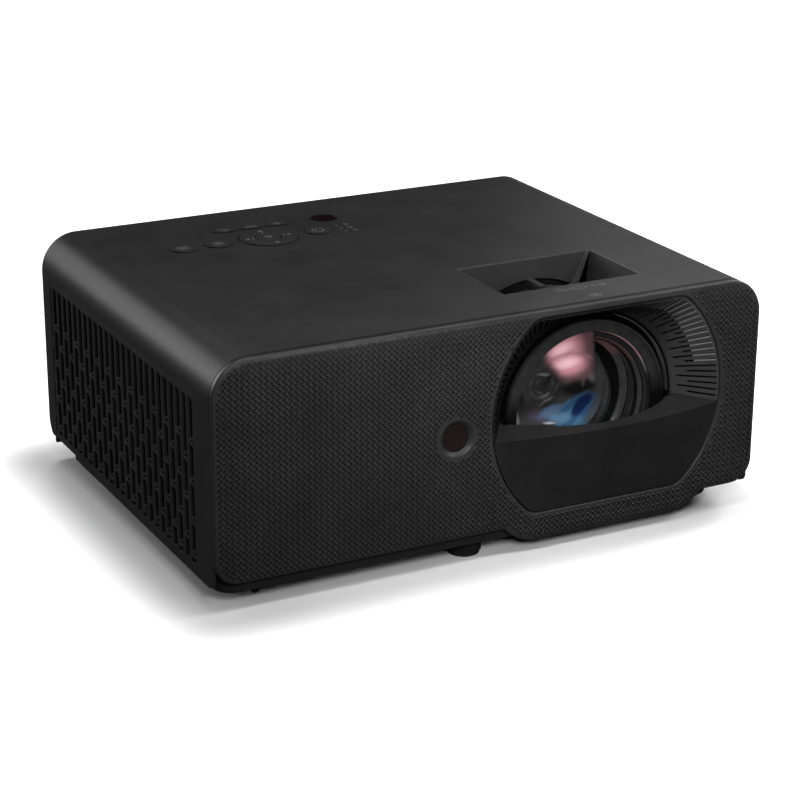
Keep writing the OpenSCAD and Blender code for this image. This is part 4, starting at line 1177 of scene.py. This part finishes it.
def build_recess():
    x0, x1, s0, s1, z0 = 25.25, 134.25, 42.75, 108.75, 173.55

    def back_s(z):
        return s1 - (z0 - z) * 0.11

    def flat(name, pts, thick, mat):
        return plate(name, pts, thick, mat)

    # back wall, cut round by the rings' clearance
    xl = lambda z: x0 + 0.45 * (z0 - z)
    strip_l = lambda z: 130.4 - 14.6 * (z0 - z) / 22.1
    strip_r = lambda z: 134.6 - 11.8 * (z0 - z) / 22.1
    R = 72.5
    arcpts = []
    for k in range(0, 61):
        a = math.radians(128.0 - (128.0 - 66.0) * k / 60)
        x, z = LX + R * math.cos(a), LZ + R * math.sin(a)
        if x > xl(z) + 0.05 and x < strip_l(z) + 3.0:
            arcpts.append((x, back_s(z), z))
    wall = [(x0, back_s(z0), z0)] + [(xl(arcpts[0][2]), back_s(arcpts[0][2]), arcpts[0][2])] + arcpts \
        + [(strip_l(arcpts[-1][2]) + 3.0, back_s(arcpts[-1][2]), arcpts[-1][2]), (strip_l(z0) + 2.0, back_s(z0), z0)]
    a = flat("w1", wall, 1.6, BLACK)
    # right wall, left wall and front wall
    b = flat("w2", [(x1, s0, z0), (x1, s1, z0), (x1 - 5.5, s1 - 3.0, 138.0), (x1 - 5.5, s0, 138.0)], 1.6, BLACK)
    c = flat("w3", [(x0, s1, z0), (x0, s0, z0), (xl(150.0), s0, 150.0), (xl(150.0), s1 - 2.6, 150.0)], 1.6, BLACK)
    d = flat("w4", [(x1, s0, z0), (x1 - 4, s0 + 1.5, 150.0), (xl(150.0), s0 + 1.5, 150.0), (x0, s0, z0)], 1.2, BLACK)
    ob = join_pieces("ring_well_walls", [a, b, c, d], RECESS, "ring_well")
    # slanting rib at the right end of the back wall, paler grey as painted light
    t = lambda z: s1 - 0.3 - (z0 - z) * 0.20
    rib = flat("w5", [(strip_l(z0), t(z0), z0), (strip_l(151.2), t(151.2), 151.2), (strip_r(151.2), t(151.2), 151.2),
                      (min(strip_r(z0), x1), t(z0), z0)], 3.4, BLACK)
    join_pieces("ring_well_rib", [rib], RIB, bevel=0.35)
    # thin rim round the hole, pale grey as a painted highlight
    vs, fs = [], []
    outer = [(24.45, 41.95), (135.05, 41.95), (135.05, 109.55), (24.45, 109.55)]
    inner = [(x0 + 0.05, s0 + 0.05), (x1 - 0.05, s0 + 0.05), (x1 - 0.05, s1 - 0.05), (x0 + 0.05, s1 - 0.05)]
    mid = [((o[0] * 0.45 + i[0] * 0.55), (o[1] * 0.45 + i[1] * 0.55)) for o, i in zip(outer, inner)]
    for loop, z in ((outer, 174.03), (mid, 173.97), (inner, 173.4), (inner, 172.6), (outer, 172.6)):
        for x, s in loop:
            vs.append(V3(x, s, z))
    for l in range(5):
        m = (l + 1) % 5
        for j in range(4):
            k = (j + 1) % 4
            fs.append((l * 4 + j, l * 4 + k, m * 4 + k, m * 4 + j))
    rim = add_mesh("ring_well_rim", vs, fs, RIM, "root", 25.0)
    # dark case behind the walls, near black as painted shade in the pocket
    bx = [(21.0, 137.6, 40.6, 112.0, 128.0, 171.2)]
    p = []
    X0, X1, S0, S1, Z0, Z1 = bx[0]
    p.append(flat("k1", [(X0, S1, Z1), (X0, S1, Z0), (X1, S1, Z0), (X1, S1, Z1)], 0.6, BLACK))
    p.append(flat("k2", [(X1, S0, Z1), (X1, S1, Z1), (X1, S1, Z0), (X1, S0, Z0)], 0.6, BLACK))
    join_pieces("ring_well_case", p, VOID)
    return ob


def shade_of(name, grey, rough=0.42, spec=0.2):
    return plastic(name, (grey, grey, grey * 1.01), rough, spec, grain=2600.0, depth=0.00001)


# recess walls paler than the casing and the rib paler still, as painted light; the rim pale as a painted highlight
RECESS = shade_of("recess_black_painted_light", 0.034)
RIB = shade_of("rib_black_painted_light", 0.050)
RIM = shade_of("recess_rim_painted_highlight", 0.060, 0.36, 0.3)
# painted shade: the barrel between the rings is near black, darker than the lens black
DEEP = shade_of("barrel_outside", 0.005, 0.6, 0.1)
build_recess()


# ------------------------------------------------------------------ softened CAD pieces
softened("top_cover", 0.4, BLACK, keep=lambda e: max(v.co.z for v in e.verts) > 0.02)
for g in ("left_side_grille", "right_side_grille"):
    softened(g, 0.35, BLACK, segs=1)
softened("bottom_cover", 0.8, UNDER)
softened("rear_panel", 0.35, BLACK, segs=1)
# the lens cover's top is a paler copy and its sides the darker cover plastic, as painted light and shade; its front
# bevels are a painted highlight
softened("lens_lower_cover", 0.7, COVER_TOP_LIT, segs=3, side=COVER, edge=COVER_EDGE_HIGHLIGHT)
for k in ("power_button", "source_key", "menu_key", "ok_button"):
    softened(k, 0.18, KEYS, segs=2, side=KEY_SIDE_SHADE)
for k in ("back_key", "mode_key", "info_key"):
    softened(k, 0.18, KEYS, segs=2, side=KEY_SIDE_SHADE)
softened("direction_pad", 0.18, KEYS, segs=2, side=KEY_SIDE_SHADE)
softened("lens_barrel", 0.3, DEEP)
softened("front_steady_feet", 0.8, FOOT, segs=3)
for f in ("front_foot", "rear_left_foot", "rear_right_foot"):
    softened(f + "_screw", 0.3, FOOT, segs=1)
    softened(f + "_sole", 0.5, SOLE, segs=2)

SLOT_MATS = {"casing": BLACK, "base_plastic": UNDER, "panel": PANEL, "funnel_plastic": FUNNEL, "cover_smooth": COVER,
             "ir_window": IR, "light_pipe": PIPE, "key_plastic": KEYS, "circuit_board": PCB, "lens_black": LENS_BLACK,
             "ring_plastic": RING, "cast_alloy": CAST, "sheet_steel": STEEL, "phosphor": PHOSPHOR, "copper": COPPER,
             "fan_plastic": FANS, "foot_plastic": FOOT, "foot_rubber": SOLE}


def glass(name, tint, rough=0.02, base=(0.006, 0.006, 0.007)):
    m = Mat(name, base, rough, 0.5)
    m.vary_rough(m.noise(120.0), rough, rough + 0.03)
    m.bump(m.noise(60.0), 0.000002)
    return m.m


GLASS = glass("lens_glass", (1, 1, 1))
for row in frame["record"]["subparts"]:
    mat = SLOT_MATS.get(row["material_slot"], GLASS)
    paint(row["node"], mat)

# ------------------------------------------------------------------ plain printed marks
def print_marks(name, shapes, body="root", z=174.0):
    """Small printed figures: shapes are lists of (x, s) outlines, laid 0.02 mm over the surface."""
    verts, faces = [], []
    for pts, level in shapes:
        n0 = len(verts)
        k = len(pts)
        for h in (0.012, 0.0):
            for x, s in pts:
                verts.append(V3(x, s, level + 0.012 + h))
        faces.append(tuple(n0 + j for j in range(k)))
        for j in range(k):
            faces.append((n0 + j, n0 + k + j, n0 + k + (j + 1) % k, n0 + (j + 1) % k))
    ob = add_mesh(name, verts, faces, INK, body, 30.0, smooth=False)
    bm = bmesh.new()
    bm.from_mesh(ob.data)
    bmesh.ops.triangulate(bm, faces=[f for f in bm.faces if len(f.verts) > 4])
    bmesh.ops.recalc_face_normals(bm, faces=bm.faces)
    up = [f for f in bm.faces if abs(f.normal.z) > 0.9 and f.normal.z < 0]
    if up:
        bmesh.ops.reverse_faces(bm, faces=up)
    bm.to_mesh(ob.data)
    bm.free()
    finish_mesh(ob.data, 30.0, False)
    return ob


def bar(x0, s0, x1, s1, w):
    dx, ds = x1 - x0, s1 - s0
    L = math.hypot(dx, ds)
    nx, ns = -ds / L * w / 2, dx / L * w / 2
    return [(x0 + nx, s0 + ns), (x0 - nx, s0 - ns), (x1 - nx, s1 - ns), (x1 + nx, s1 + ns)]


def hoop(cx, cs, r, w, a0, a1, n=20):
    out = []
    for k in range(n):
        b0 = math.radians(a0 + (a1 - a0) * k / n)
        b1 = math.radians(a0 + (a1 - a0) * (k + 1) / n)
        out.append([(cx + (r - w / 2) * math.cos(b0), cs + (r - w / 2) * math.sin(b0)),
                    (cx + (r + w / 2) * math.cos(b0), cs + (r + w / 2) * math.sin(b0)),
                    (cx + (r + w / 2) * math.cos(b1), cs + (r + w / 2) * math.sin(b1)),
                    (cx + (r - w / 2) * math.cos(b1), cs + (r - w / 2) * math.sin(b1))])
    return out


def disc(cx, cs, r, n=14):
    return [(cx + r * math.cos(2 * math.pi * k / n), cs + r * math.sin(2 * math.pi * k / n)) for k in range(n)]


def box_line(x0, s0, x1, s1, w):
    return [bar(x0, s0, x1, s0, w), bar(x0, s1, x1, s1, w), bar(x0, s0 - w / 2, x0, s1 + w / 2, w),
            bar(x1, s0 - w / 2, x1, s1 + w / 2, w)]


def build_marks():
    kz = 174.8
    ky, oy, px = 240.0, 270.6, -60.5
    z = lambda shapes, lv: [(p, lv) for p in shapes]
    # power: broken ring and bar
    print_marks("mark_power", z(hoop(-20.4, ky, 4.2, 0.8, 125, 415) + [bar(-20.4, ky + 1.2, -20.4, ky + 5.0, 0.8)], kz),
                BODY["power_button"])
    # source: box with an arrow
    s = box_line(-131.0, ky - 3.2, -124.4, ky + 3.2, 0.6) + [bar(-133.5, ky, -127.5, ky, 0.7),
         [(-128.6, ky - 1.7), (-125.6, ky), (-128.6, ky + 1.7)]]
    print_marks("mark_source", z(s, kz), BODY["source_key"])
    s = [bar(-104.3, ky + d, -96.3, ky + d, 0.8) for d in (-2.4, 0.0, 2.4)]
    print_marks("mark_menu", z(s, kz), BODY["menu_key"])
    s = hoop(-81.4, oy, 1.9, 0.6, -90, 90, 10) + [bar(-85.4, oy + 1.9, -81.4, oy + 1.9, 0.6), bar(-84.4, oy - 1.9, -81.4, oy - 1.9, 0.6),
         [(-84.6, oy + 0.6), (-84.6, oy + 3.2), (-86.8, oy + 1.9)]]
    print_marks("mark_back", z(s, kz), BODY["back_key"])
    s = box_line(-64.6, oy - 1.6, -60.6, oy + 1.6, 0.5) + box_line(-61.4, oy - 2.0, -57.4, oy + 1.2, 0.5)
    print_marks("mark_mode", z(s, kz), BODY["mode_key"])
    s = hoop(-40.0, oy, 2.1, 0.5, 0, 360, 20) + [disc(-40.0, oy, 0.75), bar(-44.6, oy, -42.9, oy, 0.5), bar(-37.1, oy, -35.4, oy, 0.5)]
    print_marks("mark_info", z(s, kz), BODY["info_key"])
    s = hoop(px, ky, 2.3, 0.6, 0, 360, 22) + [disc(px, ky, 0.8)]
    print_marks("mark_ok", z(s, kz + 0.1), BODY["ok_button"])
    s = [[(px - 2.2, ky + 14.6), (px + 2.2, ky + 14.6), (px, ky + 17.4)], [(px + 2.2, ky - 14.6), (px - 2.2, ky - 14.6), (px, ky - 17.4)],
         [(px + 15.4, ky - 1.9), (px + 18.2, ky), (px + 15.4, ky + 1.9)], [(px - 15.4, ky + 1.9), (px - 18.2, ky), (px - 15.4, ky - 1.9)],
         disc(px + 12.2, ky - 0.2, 0.9), disc(px - 12.2, ky + 0.2, 0.9), disc(px, ky + 11.6, 0.8)]
    print_marks("mark_pad", z(s, kz), BODY["direction_pad"])
    # signs beside the three lights: power, lamp, heat
    s = hoop(6.0, 231.2, 1.5, 0.5, 125, 415, 14) + [bar(6.0, 231.6, 6.0, 233.2, 0.5)]
    s += hoop(6.0, 240.0, 1.5, 0.5, 0, 360, 16) + [bar(5.2, 237.6, 6.8, 237.6, 0.6)]
    s += [bar(6.0, 246.8, 6.0, 250.2, 0.7), disc(6.0, 246.6, 0.95), bar(7.6, 247.4, 9.0, 247.4, 0.4), bar(7.6, 248.8, 9.0, 248.8, 0.4)]
    # signs in front of the recess: narrow and wide picture, two arrows, sharp picture
    s += box_line(60.5, 31.6, 66.5, 35.4, 0.45) + [bar(68.0, 33.5, 72.0, 33.5, 0.45), [(71.2, 32.4), (73.4, 33.5), (71.2, 34.6)]]
    s += box_line(75.0, 30.8, 84.0, 36.0, 0.45) + [bar(88.0, 33.4, 92.0, 33.4, 0.45), bar(90.0, 31.4, 90.0, 35.4, 0.45)]
    s += hoop(97.5, 33.2, 2.1, 0.45, 0, 360, 22) + [disc(97.5, 33.2, 0.7)]
    s += box_line(76.5, 12.2, 84.0, 16.6, 0.45) + hoop(80.2, 14.4, 1.3, 0.4, 0, 360, 18)
    print_marks("marks_top", z(s, 174.0))


build_marks()


# ------------------------------------------------------------------ floor, world and lights
def add_floor():
    m = Field("floor_white", (0.9, 0.9, 0.9), 0.9, 0.1)
    m.vary_colour(m.noise(3.0), (0.895, 0.895, 0.895), (0.905, 0.905, 0.905))
    # distance from the footprint: the sweep is evenly white away from the product
    x = m.maths("SUBTRACT", m.maths("ABSOLUTE", m.along((1, 0, 0), 0)), 208.0)
    y = m.maths("SUBTRACT", m.maths("ABSOLUTE", m.along((0, 1, 0), -3.0)), 157.0)
    x = m.maths("MAXIMUM", x, 0.0)
    y = m.maths("MAXIMUM", y, 0.0)
    far = m.maths("SQRT", m.maths("ADD", m.maths("MULTIPLY", x, x), m.maths("MULTIPLY", y, y)))
    glow = m.node("ShaderNodeEmission")
    m.link(m.step(far, 4.0, 75.0, 0.0, 1.0), glow.inputs["Strength"])
    add = m.node("ShaderNodeAddShader")
    m.link(m.b.outputs[0], add.inputs[0])
    m.link(glow.outputs[0], add.inputs[1])
    # lit white in the picture, but returning little light to the black casing
    d = m.node("ShaderNodeBsdfDiffuse")
    d.inputs["Color"].default_value = (0.10, 0.10, 0.10, 1)
    lp = m.node("ShaderNodeLightPath")
    # seen white again in the grazing gloss of the rear and right-hand edges
    back = m.both(m.step(m.along((0, 1, 0), 0), 220.0, 600.0), m.step(m.along((1, 0, 0), 0), -150.0, 150.0),
                  lp.outputs["Is Glossy Ray"])
    sheen = m.node("ShaderNodeEmission")
    m.link(m.maths("MULTIPLY", back, 0.7), sheen.inputs["Strength"])
    dim = m.node("ShaderNodeAddShader")
    m.link(d.outputs[0], dim.inputs[0])
    m.link(sheen.outputs[0], dim.inputs[1])
    mix = m.node("ShaderNodeMixShader")
    out = m.t.nodes["Material Output"]
    m.link(lp.outputs["Is Camera Ray"], mix.inputs[0])
    m.link(dim.outputs[0], mix.inputs[1])
    m.link(add.outputs[0], mix.inputs[2])
    m.link(mix.outputs[0], out.inputs["Surface"])
    me = bpy.data.meshes.new("floor")
    z = -0.0001
    me.from_pydata([(-14, -5, z), (14, -5, z), (14, 22, z), (-14, 22, z)], [], [(0, 1, 2, 3)])
    me.materials.append(m.m)
    ob = bpy.data.objects.new("floor", me)
    scene.collection.objects.link(ob)


def add_world():
    w = bpy.data.worlds.new("studio")
    scene.world = w
    w.use_nodes = True
    t = w.node_tree
    t.nodes.clear()
    out = t.nodes.new("ShaderNodeOutputWorld")
    mix = t.nodes.new("ShaderNodeMixShader")
    lp = t.nodes.new("ShaderNodeLightPath")
    a = t.nodes.new("ShaderNodeBackground")
    b = t.nodes.new("ShaderNodeBackground")
    a.name = "fill"
    a.inputs["Color"].default_value = (1, 1, 1, 1)
    a.inputs["Strength"].default_value = 0.0
    b.inputs["Color"].default_value = (1, 1, 1, 1)
    t.links.new(lp.outputs["Is Camera Ray"], mix.inputs[0])
    t.links.new(a.outputs[0], mix.inputs[1])
    t.links.new(b.outputs[0], mix.inputs[2])
    t.links.new(mix.outputs[0], out.inputs[0])


def area(name, at, target, size, power, colour=(1, 1, 1)):
    l = bpy.data.lights.new(name, "AREA")
    l.shape = "RECTANGLE"
    l.size, l.size_y = size
    l.energy = power
    l.color = colour
    ob = bpy.data.objects.new(name, l)
    scene.collection.objects.link(ob)
    ob.location = at
    d = Vector(target) - Vector(at)
    ob.rotation_euler = d.to_track_quat("-Z", "Y").to_euler()
    ob.visible_camera = False
    return ob


def sun(name, direction, angle, strength):
    l = bpy.data.lights.new(name, "SUN")
    l.angle = math.radians(angle)
    l.energy = strength
    ob = bpy.data.objects.new(name, l)
    scene.collection.objects.link(ob)
    ob.rotation_euler = (-Vector(direction)).to_track_quat("-Z", "Y").to_euler()
    return ob


add_floor()
add_world()
area("back_low", (-0.996, 2.136, 1.199), (0, 0, 0.1), (0.8, 0.8), 8.32)
area("back_edge", (-1.614, 1.924, 0.773), (0, 0, 0.1), (0.8, 0.8), 17.8)
area("back_top", (0.0, 1.30, 2.352), (0, 0, 0.1), (0.8, 0.8), 19.6)
area("near_top", (0.0, -0.27, 0.34), (0.0, -0.155, 0.14), (0.5, 0.05), 0.55)
area("near_back", (0.65, 0.5, 0.55), (0.12, 0.0, 0.17), (0.4, 0.3), 0.408)
area("near_right", (0.9, 0.1, 0.6), (0.12, 0.0, 0.17), (0.3, 0.5), 6.47)
area("front_left", (-0.35, -0.75, 0.45), (0.10, -0.14, 0.10), (0.15, 0.15), 2.05)
area("front_low", (-0.05, -0.40, 0.18), (0.15, -0.14, 0.10), (0.06, 0.10), 0.325)
area("front_right", (0.35, -0.35, 0.35), (0.18, -0.14, 0.15), (0.10, 0.10), 0.474)
